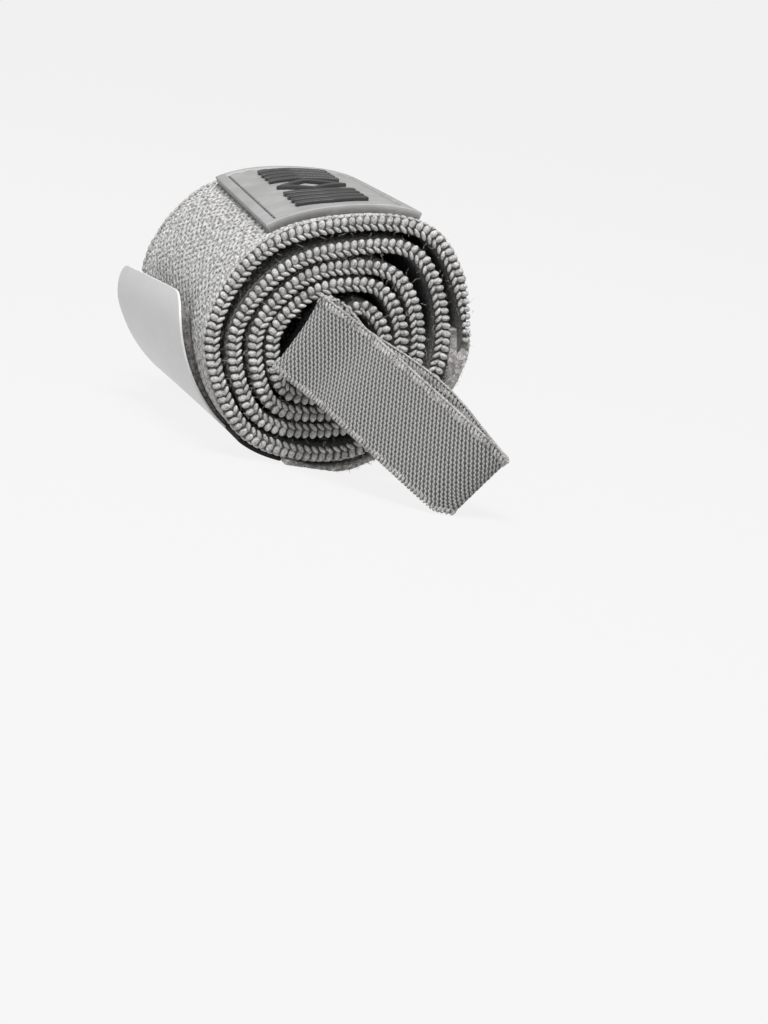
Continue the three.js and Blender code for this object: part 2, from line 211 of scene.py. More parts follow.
@dataclass(frozen=True)
class Roll:
    """The wound band: the spiral of its centre line, its twist, and how it lies on the floor."""

    band_width: float = 80 * MM
    band_thickness: float = 2.8 * MM
    core_radius: float = 9.1 * MM
    twist: float = 6.6
    rest_turn: float = 10
    core_slant: float = 56.6
    core_end: tuple[float, ...] = (-0.82, -0.22, 0.37)
    core_beside: float = 0.12
    core_turn: tuple[float, ...] = (0.82, 0.98, 1.08, 1.19, 1.51, 1.33, 1.07, 1.06)
    turn_spaces: tuple[tuple[float, ...], ...] = (
        (0.6, 0.15, 0.15, 0.15, 0.25, 0.18, 0.15, 0.17),
        (0.37, 0.15, 0.3, 0.15, 0.28, 0.4, 0.27, 0.2),
        (1.0, 0.7, 0.33, 0.63, 0.2, 0.5, 0.83, 0.64),
        (0.56, 0.6, 0.6),
    )
    rest_angle: float = 185
    rest_press: float = 0.38
    panel_thickness: float = 1.1 * MM
    panel_lift: tuple[Row, ...] = (
        Row(88, 1.257), Row(97, 1.06), Row(108, 0.79), Row(119, 0.52), Row(135, 0.36),
        Row(158, 0.3), Row(174, 0.4), Row(191, 0.38), Row(204, 0.12),
    )
    curve: SmoothCurve = field(init=False)
    rest_depth: float = field(init=False)

    def __post_init__(self) -> None:
        """Winds the spiral and finds how high its axis lies."""
        object.__setattr__(self, "curve", SmoothCurve(self._knots(), centripetal=False))
        lift = float(row_value(self.panel_lift, np.array(self.rest_angle)))
        outward = self.band_thickness * (0.5 + lift) + self.panel_thickness
        point = self._wound(self.parameter_at(np.array([self.turn_under_plies + self.rest_angle])), outward)
        depth = float(np.linalg.norm(point)) - self.rest_press * self.panel_thickness
        object.__setattr__(self, "rest_depth", depth)

    @property
    def last_turn(self) -> float:
        """The angle at which the last turn starts, in degrees from the core's top."""
        return TURN_DEGREES * len(self.turn_spaces)

    @property
    def turn_under_plies(self) -> float:
        """The angle at which the turn under the panel and the tab starts."""
        return self.last_turn - TURN_DEGREES

    def along_core(self) -> np.ndarray:
        """The direction of the band's inner end across the core, in the end face's plane."""
        slant = math.radians(self.core_slant)
        return np.array([math.cos(slant), math.sin(slant)])

    def _knots(self) -> np.ndarray:
        """Places the spiral's knots: across the core, then at the clock places of each turn.

        Returns:
            One knot to a row, in the end face's plane.
        """
        along = self.along_core()
        beside = np.array([-along[1], along[0]])
        knots = [(along * share + beside * self.core_beside) * self.core_radius for share in self.core_end]
        angles = [math.radians(place.value) for place in Clock]
        radii = [share * self.core_radius for share in self.core_turn]
        turns = [list(radii)]
        for spaces in self.turn_spaces:
            for i, space in enumerate(spaces):
                radii[i] += self.band_thickness * (1 + space)
            turns.append(radii[:len(spaces)])
        for turn in turns:
            for angle, radius in zip(angles, turn):
                knots.append(np.array([math.sin(angle), math.cos(angle)]) * radius)
        return np.array(knots)

    def parameter_at(self, angle: np.ndarray) -> np.ndarray:
        """Finds places on the spiral by their angle.

        Args:
            angle: Degrees from the top of the innermost turn.

        Returns:
            The curve's parameters there.
        """
        turns = len(self.turn_spaces)
        spans = len(self.core_end) + len(Clock) * turns + len(self.turn_spaces[-1]) - 1
        return (len(self.core_end) - 1 + np.asarray(angle) / KNOT_DEGREES) / spans

    def length_to(self, angle: float) -> float:
        """The length along the spiral to an angle from the top of its last turn."""
        return float(self.curve.length_at(self.parameter_at(np.array(self.last_turn + angle))))

    def _wound(self, parameter: np.ndarray, outward: np.ndarray | float) -> np.ndarray:
        """Places in the end face's plane.

        Args:
            parameter: Places along the spiral, from 0 to 1.
            outward: Distances outward from its centre line.

        Returns:
            One place for each.
        """
        point, tangent = self.curve.at(parameter)
        outward = np.asarray(outward)
        x = point[..., 0] - tangent[..., 1] * outward
        z = point[..., 1] + tangent[..., 0] * outward
        return np.stack([x, z], -1)

    def upward(self) -> np.ndarray:
        """The direction, before the roll's near end is laid down, that ends up pointing upward."""
        turn = math.radians(-self.rest_turn)
        return np.array([-math.sin(turn), 0.0, math.cos(turn)])

    def unclamped_height(self, points: np.ndarray) -> np.ndarray:
        """Heights over the floor of points off the roll's near end, before they rest on it."""
        return points @ self.upward() + self.rest_depth

    def lay_down(self, points: np.ndarray) -> np.ndarray:
        """Turns points of the roll by its twist and its rest turn, and lays them on z = 0.

        Args:
            points: Points of the roll about its axis, one to a row.

        Returns:
            The points in the part's frame.
        """
        share = np.clip(points[..., 1] / self.band_width + 0.5, 0, 1)
        turn = np.radians(self.twist * share - self.rest_turn)
        x = points[..., 0] * np.cos(turn) + points[..., 2] * np.sin(turn)
        z = -points[..., 0] * np.sin(turn) + points[..., 2] * np.cos(turn)
        return np.stack([x, points[..., 1], np.maximum(z + self.rest_depth, 0)], -1)

    def place(self, parameter: np.ndarray, outward: np.ndarray | float, y: np.ndarray) -> np.ndarray:
        """Points on the laid roll.

        Args:
            parameter: Places along the spiral, from 0 to 1.
            outward: Distances outward from the band's centre line.
            y: Places along the roll.

        Returns:
            One point for each place.
        """
        parameter, outward, y = np.broadcast_arrays(parameter, outward, y)
        plane = self._wound(parameter, outward)
        return self.lay_down(np.stack([plane[..., 0], y, plane[..., 1]], -1))

    def axes_at(self, parameter: float, outward: float,
                y: float) -> tuple[np.ndarray, np.ndarray, np.ndarray]:
        """A place on the roll, with the directions ahead round it and up off it.

        Args:
            parameter: The place along the spiral, from 0 to 1.
            outward: The distance outward from the band's centre line.
            y: The place along the roll.

        Returns:
            The point, the unit tangent, and the unit direction outward.
        """
        here, ahead, above = (self.place(parameter + step, outward + lift, np.array(y))
                              for step, lift in ((0.0, 0.0), (STEP, 0.0), (0.0, MM)))
        return here, unit(ahead - here), unit(above - here)

    def on_ply(self, angle: np.ndarray, lift: np.ndarray | float, y: np.ndarray) -> np.ndarray:
        """Points lifted off the turn that lies under the panel and the tab.

        Args:
            angle: Angles round the last turn, in degrees.
            lift: Heights over that turn's outer face.
            y: Places along the roll.

        Returns:
            One point for each place.
        """
        parameter = self.parameter_at(self.turn_under_plies + np.asarray(angle))
        return self.place(parameter, self.band_thickness / 2 + np.asarray(lift), y)


class Field:
    """A shader socket that joins in Python arithmetic, each operation adding its Math node."""

    def __init__(self, shader: "Shader", socket: bpy.types.NodeSocket) -> None:
        """Wraps a socket of a shader's node."""
        self.shader = shader
        self.socket = socket

    def _math(self, operation: str, *values: "Field | float") -> "Field":
        """Adds one Math node over this field and the others."""
        return self.shader.node("ShaderNodeMath", {"operation": operation}, dict(enumerate(values)))

    def __add__(self, other: "Field | float") -> "Field":
        """The sum of two fields."""
        return self._math("ADD", self, other)

    def __radd__(self, other: float) -> "Field":
        """The sum of a number and this field."""
        return self._math("ADD", other, self)

    def __sub__(self, other: "Field | float") -> "Field":
        """This field less another."""
        return self._math("SUBTRACT", self, other)

    def __rsub__(self, other: float) -> "Field":
        """A number less this field."""
        return self._math("SUBTRACT", other, self)

    def __mul__(self, other: "Field | float") -> "Field":
        """The product of two fields."""
        return self._math("MULTIPLY", self, other)

    def __rmul__(self, other: float) -> "Field":
        """The product of a number and this field."""
        return self._math("MULTIPLY", other, self)

    def __truediv__(self, other: "Field | float") -> "Field":
        """This field over another."""
        return self._math("DIVIDE", self, other)

    def __pow__(self, other: float) -> "Field":
        """This field raised to a power."""
        return self._math("POWER", self, other)

    def cos(self) -> "Field":
        """The cosine of this field, in radians."""
        return self._math("COSINE", self)

    def wave(self, period: float) -> "Field":
        """A cosine over this field, from -1 to 1, that repeats after a period."""
        return (self * (2 * math.pi / period)).cos()

    def abs(self) -> "Field":
        """The size of this field without its sign."""
        return self._math("ABSOLUTE", self)

    def least(self, other: "Field | float") -> "Field":
        """The lesser of two fields."""
        return self._math("MINIMUM", self, other)

    def floor(self) -> "Field":
        """The whole number at or below this field."""
        return self._math("FLOOR", self)

    def step(self, low: float, high: float) -> "Field":
        """A smooth rise from 0 at low to 1 at high."""
        inputs = {"Value": self, "From Min": low, "From Max": high}
        return self.shader.node("ShaderNodeMapRange", {"interpolation_type": "SMOOTHSTEP"}, inputs)


class Shader:
    """A material being made: its nodes come from one method, and its maths from fields."""

    def __init__(self, name: str) -> None:
        """Starts a material with a bare Principled shader.

        Args:
            name: The material's name.
        """
        self.material = bpy.data.materials.new(name)
        self.material.use_nodes = True
        self.nodes = self.material.node_tree.nodes
        self.links = self.material.node_tree.links
        self.principled = self.nodes["Principled BSDF"]

    def node(self, kind: str, settings: dict[str, object], inputs: dict[int | str, object],
             output: int | str = 0) -> Field:
        """Makes a node.

        Args:
            kind: The node's type.
            settings: Its properties, which are set first.
            inputs: Numbers, colours or fields for its sockets, by index or name.
            output: The socket to return.

        Returns:
            The node's output as a field.
        """
        made = self.nodes.new(kind)
        for key, value in settings.items():
            setattr(made, key, value)
        for key, value in inputs.items():
            if isinstance(value, Field):
                self.links.new(value.socket, made.inputs[key])
            else:
                made.inputs[key].default_value = value
        return Field(self, made.outputs[output])

    def pattern(self) -> tuple[Field, Field]:
        """The piece's own map.

        Returns:
            The metres along the piece, and across it.
        """
        source = self.node("ShaderNodeUVMap", {"uv_map": PATTERN_MAP}, {})
        split = self.nodes.new("ShaderNodeSeparateXYZ")
        self.links.new(source.socket, split.inputs[0])
        return Field(self, split.outputs[0]), Field(self, split.outputs[1])

    def noise(self, vector: Field, scale: float, detail: float = 3, roughness: float = 0.6) -> Field:
        """A noise over a vector, from 0 to 1."""
        values = {"Vector": vector, "Scale": scale, "Detail": detail, "Roughness": roughness}
        return self.node("ShaderNodeTexNoise", {}, values)

    def vector(self, x: "Field | float", y: "Field | float", z: "Field | float" = 0.0) -> Field:
        """A vector of three fields."""
        return self.node("ShaderNodeCombineXYZ", {}, {0: x, 1: y, 2: z})

    def map_noise(self, scale: tuple[float, float], detail: float, layer: float = 0.0) -> Field:
        """A noise over the piece's own map.

        Args:
            scale: Its scales along the piece and across it.
            detail: How fine it goes.
            layer: Its place in the third direction, so that two noises differ.

        Returns:
            The noise, from 0 to 1.
        """
        along, across = self.pattern()
        return self.noise(self.vector(along * scale[0], across * scale[1], layer), 1.0, detail)

    def object_place(self) -> Field:
        """Object coordinates, in metres."""
        return self.node("ShaderNodeTexCoord", {}, {}, "Object")

    def mix(self, factor: Field, low: tuple[float, ...] | Field, high: tuple[float, ...] | Field) -> Field:
        """A colour between two colours."""
        low, high = ((*c, 1.0) if isinstance(c, tuple) else c for c in (low, high))
        return self.node("ShaderNodeMix", {"data_type": "RGBA"}, {0: factor, 6: low, 7: high}, 2)

    def bump(self, height: Field, distance: float) -> None:
        """Feeds the shader's normal from a height between 0 and 1, a distance high."""
        normal = self.node("ShaderNodeBump", {}, {"Distance": distance, "Height": height})
        self.links.new(normal.socket, self.principled.inputs["Normal"])

    def feed(self, **values: "Field | float") -> None:
        """Sets or links the shader's own sockets.

        Args:
            values: Numbers, colours or fields, by the sockets' names with underscores for spaces.
        """
        for key, value in values.items():
            socket = self.principled.inputs[key.replace("_", " ")]
            if isinstance(value, Field):
                self.links.new(value.socket, socket)
            else:
                socket.default_value = value


def grey(value: float, warmth: float = 0.0) -> tuple[float, float, float]:
    """A grey in linear light, a little warm where warmth is above 0."""
    return (value * (1 + warmth), value, value * (1 - warmth))


@dataclass(frozen=True)
class KnitFinish:
    """Heathered elastic knit: slanted yarn bundles in columns, with painted shade in the holes between them
    and along its two edges.
    """

    light: float = 0.66
    dark: float = 0.1
    # The near-black painted shade of the knit's holes and dots, also laid along its edges.
    hole_shade: float = 0.03
    column: float = 4.2 * MM
    course: float = 1.42 * MM
    strand: float = 0.42 * MM
    streak_length: float = 0.8 * MM
    streak_width: float = 1.5 * MM
    # Where the painted shade along the band's edges, between the stitch lobes, begins.
    border: float = 31 * MM
    rim: float = 38.5 * MM
    dot_length: float = 1.42 * MM
    dot_width: float = 3.2 * MM
    strand_slant: float = 1.7
    border_fade: float = 0.8 * MM
    rim_fade: float = 0.3 * MM
    raised: float = 0.42 * MM
    break_scale: tuple[float, float] = (700.0, 900.0)
    speck_scale: tuple[float, float] = (2400.0, 5200.0)
    cloud_scale: tuple[float, float] = (60.0, 60.0)

    def make(self) -> bpy.types.Material:
        """Makes the material, patterned by the band's own map.

        Returns:
            The material.
        """
        shader = Shader("heathered_knit")
        along, across = shader.pattern()
        holes = across.wave(self.column) * along.wave(self.course)
        # The knit's holes, and the border's dots below, take a near-black colour: painted shade in the pits,
        # which the relief and bump also sink.
        hole_shade = holes.step(0.3, 0.8) * shader.map_noise(self.break_scale, 1, 3.0).step(0.32, 0.55)
        turn = 2 * math.pi / self.strand
        strand = (along * turn + across * (turn / self.strand_slant)).cos() * 0.5 + 0.5
        streak = shader.map_noise((1 / self.streak_length, 1 / self.streak_width), 2)
        speck = shader.map_noise(self.speck_scale, 1, 7.0)
        cloud = shader.map_noise(self.cloud_scale, 2)
        border = across.abs().step(self.border, self.border + self.border_fade)
        # Near the band's edges the knit darkens to the hole shade: painted shade in the gaps between the edge
        # stitches' lobes.
        rim = across.abs().step(self.rim, self.rim + self.rim_fade)
        dots = across.wave(self.dot_width) * along.wave(self.dot_length)
        dot = dots.step(0.35, 0.8) * border
        tone = streak.step(0.4, 0.6) * 0.7 + speck.step(0.34, 0.66) * 0.22 + cloud * 0.12 + border * 0.1
        yarn = shader.mix(tone, grey(self.dark, 0.02), grey(self.light, 0.01))
        pitted = shader.mix(hole_shade * (1 - border) * 0.92, yarn, grey(self.hole_shade, 0.05))
        dotted = shader.mix(dot * 0.85, pitted, grey(self.hole_shade, 0.15))
        shader.feed(
            Base_Color=shader.mix(rim * 0.75, dotted, grey(self.hole_shade, 0.05)),
            Roughness=0.95, Specular_IOR_Level=0.2, Sheen_Weight=0.2, Sheen_Roughness=0.6)
        shader.bump((1 - hole_shade) * 0.35 + strand * 0.15 + streak * 0.6 + speck * 0.2 - dot * 0.3, self.raised)
        return shader.material


@dataclass(frozen=True)
class YarnFinish:
    """The yarn of the edge stitches: soft plied grey with fine dark strands."""

    light: float = 0.56
    dark: float = 0.16
    speck_scale: float = 2600.0
    blotch_scale: float = 420.0
    raised: float = 0.14 * MM

    def make(self, name: str) -> bpy.types.Material:
        """Makes the material.

        Args:
            name: Its name.

        Returns:
            The material.
        """
        shader = Shader(name)
        place = shader.object_place()
        speck = shader.noise(place, self.speck_scale, 2)
        blotch = shader.noise(place, self.blotch_scale, 2)
        tone = speck.step(0.34, 0.62) * 0.6 + blotch.step(0.3, 0.7) * 0.4
        shader.feed(
            Base_Color=shader.mix(tone, grey(self.dark, 0.03), grey(self.light, 0.015)),
            Roughness=0.95, Specular_IOR_Level=0.2, Sheen_Weight=0.3, Sheen_Roughness=0.5)
        shader.bump(speck, self.raised)
        return shader.material


@dataclass(frozen=True)
class PileFinish:
    """Loop pile: a felted surface speckled light and dark."""

    light: float = 0.66
    dark: float = 0.12
    speck: float = 0.8 * MM
    fineness: float = 3.1
    raised: float = 0.4 * MM

    def make(self, name: str) -> bpy.types.Material:
        """Makes the material.

        Args:
            name: Its name.

        Returns:
            The material.
        """
        shader = Shader(name)
        place = shader.object_place()
        speck = shader.noise(place, 1.0 / self.speck, 3, 0.7)
        fine = shader.noise(place, self.fineness / self.speck, 2, 0.7)
        tone = speck.step(0.38, 0.6) * 0.6 + fine.step(0.36, 0.62) * 0.4
        shader.feed(
            Base_Color=shader.mix(tone, grey(self.dark, 0.12), grey(self.light, 0.03)),
            Roughness=1.0, Specular_IOR_Level=0.1, Sheen_Weight=0.4, Sheen_Roughness=0.5)
        shader.bump(speck * 0.6 + fine * 0.4, self.raised)
        return shader.material


@dataclass(frozen=True)
class TwillFinish:
    """Elastic ribbon: beaded ribs slanting across it, with painted shade in the grooves between them."""

    light: float = 0.37
    dark: float = 0.015
    rib: float = 0.72 * MM
    bead: float = 0.9 * MM
    slant: float = 50.0
    speck_scale: tuple[float, float] = (2400.0, 2400.0)
    raised: float = 0.3 * MM

    def make(self) -> bpy.types.Material:
        """Makes the material, patterned by the ribbon's own map.

        Returns:
            The material.
        """
        shader = Shader("twill_ribbon")
        along, across = shader.pattern()
        turn = math.radians(self.slant)
        beside = (along * -math.sin(turn) + across * math.cos(turn)) / self.rib
        lengthwise = (along * math.cos(turn) + across * math.sin(turn)) / self.bead
        rib = (beside * math.pi).cos().abs() ** 0.7
        bead = ((lengthwise + beside.floor() * 0.5) * (2 * math.pi)).cos() * 0.5 + 0.5
        speck = shader.map_noise(self.speck_scale, 2)
        # The tone follows the ribs' height: near-black in the grooves as painted shade, lighter on the beads,
        # with a little random speckle.
        tone = (rib * (bead * 0.45 + 0.55)).step(0.28, 0.9) * 0.8 + speck.step(0.3, 0.7) * 0.2
        shader.feed(
            Base_Color=shader.mix(tone, grey(self.dark, 0.02), grey(self.light, 0.01)),
            Roughness=0.8, Specular_IOR_Level=0.3, Sheen_Weight=0.2, Sheen_Roughness=0.5)
        shader.bump(rib * (bead * 0.4 + 0.6) + speck * 0.15, self.raised)
        return shader.material


@dataclass(frozen=True)
class RubberFinish:
    """Moulded satin rubber, faintly grained and a little soiled, with painted shade in its sewn groove."""

    colour: float
    soil: float
    roughness: float = 0.48
    groove: tuple[float, float, float] | None = None
    groove_half: float = 0.2 * MM
    groove_shade_colour: float = 0.03
    grain_scale: float = 5200.0
    patch_scale: float = 160.0
    raised: float = 0.02 * MM

    def make(self, name: str) -> bpy.types.Material:
        """Makes the material.

        Args:
            name: Its name.

        Returns:
            The material.
        """
        shader = Shader(name)
        place = shader.object_place()
        grain = shader.noise(place, self.grain_scale, 2)
        patchy = shader.noise(place, self.patch_scale, 4)
        colour = shader.mix(patchy.step(0.35, 0.7), grey(self.soil, 0.01), grey(self.colour, 0.004))
        if self.groove:
            inset, width, length = self.groove
            along, across = shader.pattern()
            aside = along.least(width - along).least(across).least(length - across)
            # The sewn groove is darkened to near-black along its line: painted shade in the groove.
            line = 1 - (aside - inset).abs().step(self.groove_half * 0.6, self.groove_half)
            colour = shader.mix(line * 0.85, colour, grey(self.groove_shade_colour))
        shader.feed(
            Base_Color=colour,
            Roughness=patchy * 0.16 + (self.roughness - 0.08),
            Specular_IOR_Level=0.4)
        shader.bump(grain, self.raised)
        return shader.material


@dataclass(frozen=True)
class HookFinish:
    """Pale hook tape: a smooth backing with fine rows."""

    light: float = 0.7
    dark: float = 0.56
    row: float = 0.9 * MM
    patch_scale: tuple[float, float] = (260.0, 90.0)
    grain_scale: tuple[float, float] = (2600.0, 2600.0)
    raised: float = 0.05 * MM

    def make(self) -> bpy.types.Material:
        """Makes the material, patterned by the tab's own map.

        Returns:
            The material.
        """
        shader = Shader("hook_tape")
        rows = shader.pattern()[1].wave(self.row) * 0.5 + 0.5
        patchy = shader.map_noise(self.patch_scale, 3)
        grain = shader.map_noise(self.grain_scale, 2)
        shader.feed(
            Base_Color=shader.mix(patchy * 0.6 + grain * 0.4, grey(self.dark), grey(self.light)),
            Roughness=grain * 0.2 + 0.42, Specular_IOR_Level=0.35)
        shader.bump(rows * 0.3 + grain * 0.5, self.raised)
        return shader.material


@dataclass(frozen=True)
class TapeFinish:
    """Black woven tape with fine ribs across it."""

    colour: float = 0.012
    lint: float = 0.05
    rib: float = 0.5 * MM
    lint_scale: tuple[float, float] = (1500.0, 1500.0)
    raised: float = 0.12 * MM

    def make(self) -> bpy.types.Material:
        """Makes the material, patterned by the label's own map.

        Returns:
            The material.
        """
        shader = Shader("black_tape")
        along, across = shader.pattern()
        ribs = along.wave(self.rib) * across.wave(self.rib) * 0.5 + 0.5
        lint = shader.map_noise(self.lint_scale, 3)
        shader.feed(
            Base_Color=shader.mix(lint.step(0.55, 0.8), grey(self.colour), grey(self.lint)),
            Roughness=0.85, Specular_IOR_Level=0.25, Sheen_Weight=0.1)
        shader.bump(ribs * 0.7 + lint * 0.3, self.raised)
        return shader.material


@dataclass
class Finishes:
    """Every material of the wrap, made once."""

    knit: bpy.types.Material = field(default_factory=lambda: KnitFinish().make())
    edge_yarn: bpy.types.Material = field(default_factory=lambda: YarnFinish().make("edge_yarn"))
    lint: bpy.types.Material = field(
        default_factory=lambda: YarnFinish(light=0.5, dark=0.25).make("loose_fibre"))
    pile: bpy.types.Material = field(default_factory=lambda: PileFinish().make("loop_pile"))
    # The pile ply under the hook tape is coloured near-black: painted shade under the tape, over a layer that
    # is really there.
    pile_in_painted_shade: bpy.types.Material = field(
        default_factory=lambda: PileFinish(light=0.2, dark=0.03).make("pile_in_painted_shade"))
    ribbon: bpy.types.Material = field(default_factory=lambda: TwillFinish().make())
    selvedge: bpy.types.Material = field(
        default_factory=lambda: YarnFinish(light=0.46, dark=0.12).make("selvedge_yarn"))
    motif: bpy.types.Material = field(
        default_factory=lambda: RubberFinish(colour=0.04, soil=0.03, roughness=0.42).make("motif_rubber"))
    thread: bpy.types.Material = field(
        default_factory=lambda: YarnFinish(light=0.62, dark=0.36).make("patch_thread"))
    hook_tape: bpy.types.Material = field(default_factory=lambda: HookFinish().make())
    tape: bpy.types.Material = field(default_factory=lambda: TapeFinish().make())


def finished(name: str, bm: bmesh.types.BMesh, material: bpy.types.Material, slot: Slot) -> bpy.types.Object:
    """Turns a bmesh into a piece that rides on the wrap.

    Args:
        name: The piece's name.
        bm: Its mesh, which is freed.
        material: Its finish.
        slot: The kind of finish that the material belongs to; not used.

    Returns:
        The piece's object.
    """
    mesh = bpy.data.meshes.new(name)
    bm.to_mesh(mesh)
    bm.free()
    mesh.materials.append(material)
    piece = bpy.data.objects.new(name, mesh)
    bpy.context.scene.collection.objects.link(piece)
    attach(piece, "root")
    log.info("%s: %d faces", name, len(mesh.polygons))
    return piece


def mapped_grid(rows: np.ndarray, columns: np.ndarray) -> tuple[bmesh.types.BMesh, np.ndarray, np.ndarray]:
    """A flat grid with its map in metres.

    Args:
        rows: Places along the piece, one for each line of points.
        columns: Places across it.

    Returns:
        The bmesh, and each vertex's row and column.
    """
    bm = bmesh.new()
    bmesh.ops.create_grid(bm, x_segments=len(rows) - 1, y_segments=len(columns) - 1, size=0.5)
    bm.verts.ensure_lookup_table()
    flat = np.array([vert.co[:2] for vert in bm.verts]) + 0.5
    row = np.rint(flat[:, 0] * (len(rows) - 1)).astype(int)
    column = np.rint(flat[:, 1] * (len(columns) - 1)).astype(int)
    layer = bm.loops.layers.uv.new(PATTERN_MAP)
    for face in bm.faces:
        face.smooth = True
        for loop in face.loops:
            index = loop.vert.index
            loop[layer].uv = (rows[row[index]], columns[column[index]])
    return bm, row, column


def move_to(verts: list[bmesh.types.BMVert], points: np.ndarray) -> None:
    """Moves vertices to points, one to a row."""
    for vert, point in zip(verts, points.tolist()):
        vert.co = point


@dataclass(frozen=True)
class SectionPoint:
    """One point of a strip's section: across it, outward through it, and along its outline."""

    across: float
    outward: float
    outline: float


@dataclass(frozen=True)
class StripSection:
    """The section of a strip with round edges, from its inner face at 0 to its outer face."""

    half: float
    thickness: float
    edge: float
    outer_pitch: float
    inner_pitch: float
    edge_steps: int = 5

    def points(self) -> list[SectionPoint]:
        """Places the section's points once round.

        Returns:
            The points, the first one repeated at the end.
        """
        flat = self.half - self.edge
        middle = self.thickness / 2
        outer = np.linspace(-flat, flat, max(2, round(2 * flat / self.outer_pitch) + 1))
        inner = np.linspace(flat, -flat, max(2, round(2 * flat / self.inner_pitch) + 1))
        turn = np.linspace(0, math.pi, self.edge_steps + 2)[1:-1]
        places = [(y, self.thickness) for y in outer]
        places += [(flat + self.edge * math.sin(a), middle * (1 + math.cos(a))) for a in turn]
        places += [(y, 0.0) for y in inner]
        places += [(-flat - self.edge * math.sin(a), middle * (1 - math.cos(a))) for a in turn]
        places.append(places[0])
        steps = [math.dist(a, b) for a, b in zip(places, places[1:])]
        outline = [-flat, *(np.cumsum(steps) - flat)]
        return [SectionPoint(y, out, length) for (y, out), length in zip(places, outline)]


def strip_body(rows: np.ndarray, section: list[SectionPoint],
               place: Callable[[np.ndarray, np.ndarray, np.ndarray, np.ndarray], np.ndarray],
               ) -> bmesh.types.BMesh:
    """A strip: its section carried along its length, its seam merged and its ends closed.

    Args:
        rows: Places along the strip, in metres.
        section: The section's points once round.
        place: Gives points from row numbers, distances across and outward, and outline lengths.

    Returns:
        The strip's bmesh.
    """
    outline = np.array([point.outline for point in section])
    bm, row, column = mapped_grid(rows, outline)
    across = np.array([point.across for point in section])[column]
    outward = np.array([point.outward for point in section])[column]
    move_to(list(bm.verts), place(row, across, outward, outline[column]))
    seam = [vert for vert, at in zip(bm.verts, column) if at in (0, len(section) - 1)]
    bmesh.ops.remove_doubles(bm, verts=seam, dist=1e-7)
    for edge in bm.edges:
        if edge.is_boundary:
            edge.smooth = False
    bmesh.ops.holes_fill(bm, edges=[edge for edge in bm.edges if edge.is_boundary], sides=0)
    bmesh.ops.recalc_face_normals(bm, faces=bm.faces)
    return bm


def sheet_body(rows: np.ndarray, columns: np.ndarray,
               place: Callable[[np.ndarray, np.ndarray, bool], np.ndarray],
               edge: float) -> bmesh.types.BMesh:
    """A sheet with a wall: its outer face extruded to its inner face, its rim bevelled.

    Args:
        rows: Places along the sheet.
        columns: Places across it.
        place: Gives points from places along and across, on the outer face or the inner one.
        edge: The bevel's size along the rim, or 0 for none.

    Returns:
        The sheet's bmesh.
    """
    bm, row, column = mapped_grid(rows, columns)
    outer = list(bm.verts)
    grown = bmesh.ops.extrude_face_region(bm, geom=list(bm.faces), use_keep_orig=True)
    inner = [item for item in grown["geom"] if isinstance(item, bmesh.types.BMVert)]
    flat = {tuple(round(c, 6) for c in vert.co): i for i, vert in enumerate(outer)}
    order = [flat[tuple(round(c, 6) for c in vert.co)] for vert in inner]
    move_to(inner, place(rows[row[order]], columns[column[order]], False))
    move_to(outer, place(rows[row], columns[column], True))
    bmesh.ops.recalc_face_normals(bm, faces=bm.faces)
    if edge > 0:
        walls = [face for face in bm.faces if len({vert in inner for vert in face.verts}) == 2]
        rim = {e for face in walls for e in face.edges if len({v in inner for v in e.verts}) == 1}
        bmesh.ops.bevel(bm, geom=list(rim), offset=edge, segments=EDGE_SEGMENTS, affect="EDGES",
                        profile=0.5, material=-1, clamp_overlap=True)
        for face in bm.faces:
            face.smooth = True
    return bm


def lobe(bm: bmesh.types.BMesh, centre: np.ndarray, axes: tuple[np.ndarray, np.ndarray, np.ndarray],
         sides: int = 7, rings: int = 5) -> None:
    """Adds a rounded lobe.

    Args:
        bm: The bmesh it joins.
        centre: Its middle.
        axes: Its three half axes, the long one last.
        sides: Faces round it.
        rings: Faces along it.
    """
    matrix = Matrix.Identity(4)
    for i, axis in enumerate(axes):
        for j in range(3):
            matrix[j][i] = axis[j]
    matrix.translation = Vector(centre)
    bmesh.ops.create_uvsphere(bm, u_segments=sides, v_segments=rings, radius=1.0, matrix=matrix)


class Repeats:
    """Many small shapes joined in one mesh, each made in a small batch so that it is made fast."""

    BATCH = 24

    def __init__(self) -> None:
        """Starts with nothing made."""
        self.whole = bmesh.new()
        self.batch = bmesh.new()
        self.count = 0

    def room(self) -> bmesh.types.BMesh:
        """Makes room for one more shape.

        Returns:
            The bmesh that the shape is made in.
        """
        if self.count and self.count % self.BATCH == 0:
            self._join()
        self.count += 1
        return self.batch

    def _join(self) -> None:
        """Adds the batch to the whole and starts the next one."""
        mesh = bpy.data.meshes.new("batch")
        self.batch.to_mesh(mesh)
        self.whole.from_mesh(mesh)
        bpy.data.meshes.remove(mesh)
        self.batch.free()
        self.batch = bmesh.new()

    def joined(self) -> bmesh.types.BMesh:
        """Ends the last batch.

        Returns:
            The whole, with every face turned out and shaded smooth.
        """
        self._join()
        self.batch.free()
        smooth_faces(self.whole)
        return self.whole


def smooth_faces(bm: bmesh.types.BMesh) -> None:
    """Turns every face out and shades it smooth.

    Args:
        bm: The bmesh that the faces are in.
    """
    bmesh.ops.recalc_face_normals(bm, faces=bm.faces)
    for face in bm.faces:
        face.smooth = True


def soften(piece: bpy.types.Object) -> None:
    """Rounds a moulded piece's sharp edges.

    Args:
        piece: The piece.
    """
    bevel = piece.modifiers.new("soft_edge", "BEVEL")
    bevel.width = SOFT_EDGE
    bevel.segments = EDGE_SEGMENTS
    bevel.limit_method = "ANGLE"
    bevel.angle_limit = math.radians(SHARP_DEGREES)


@dataclass(frozen=True)
class Leg:
    """One leg of an edge stitch: its direction over the edge and ahead, its place and its half sizes."""

    up: float
    ahead: float
    centre: float
    long: float
    wide: float
    deep: float


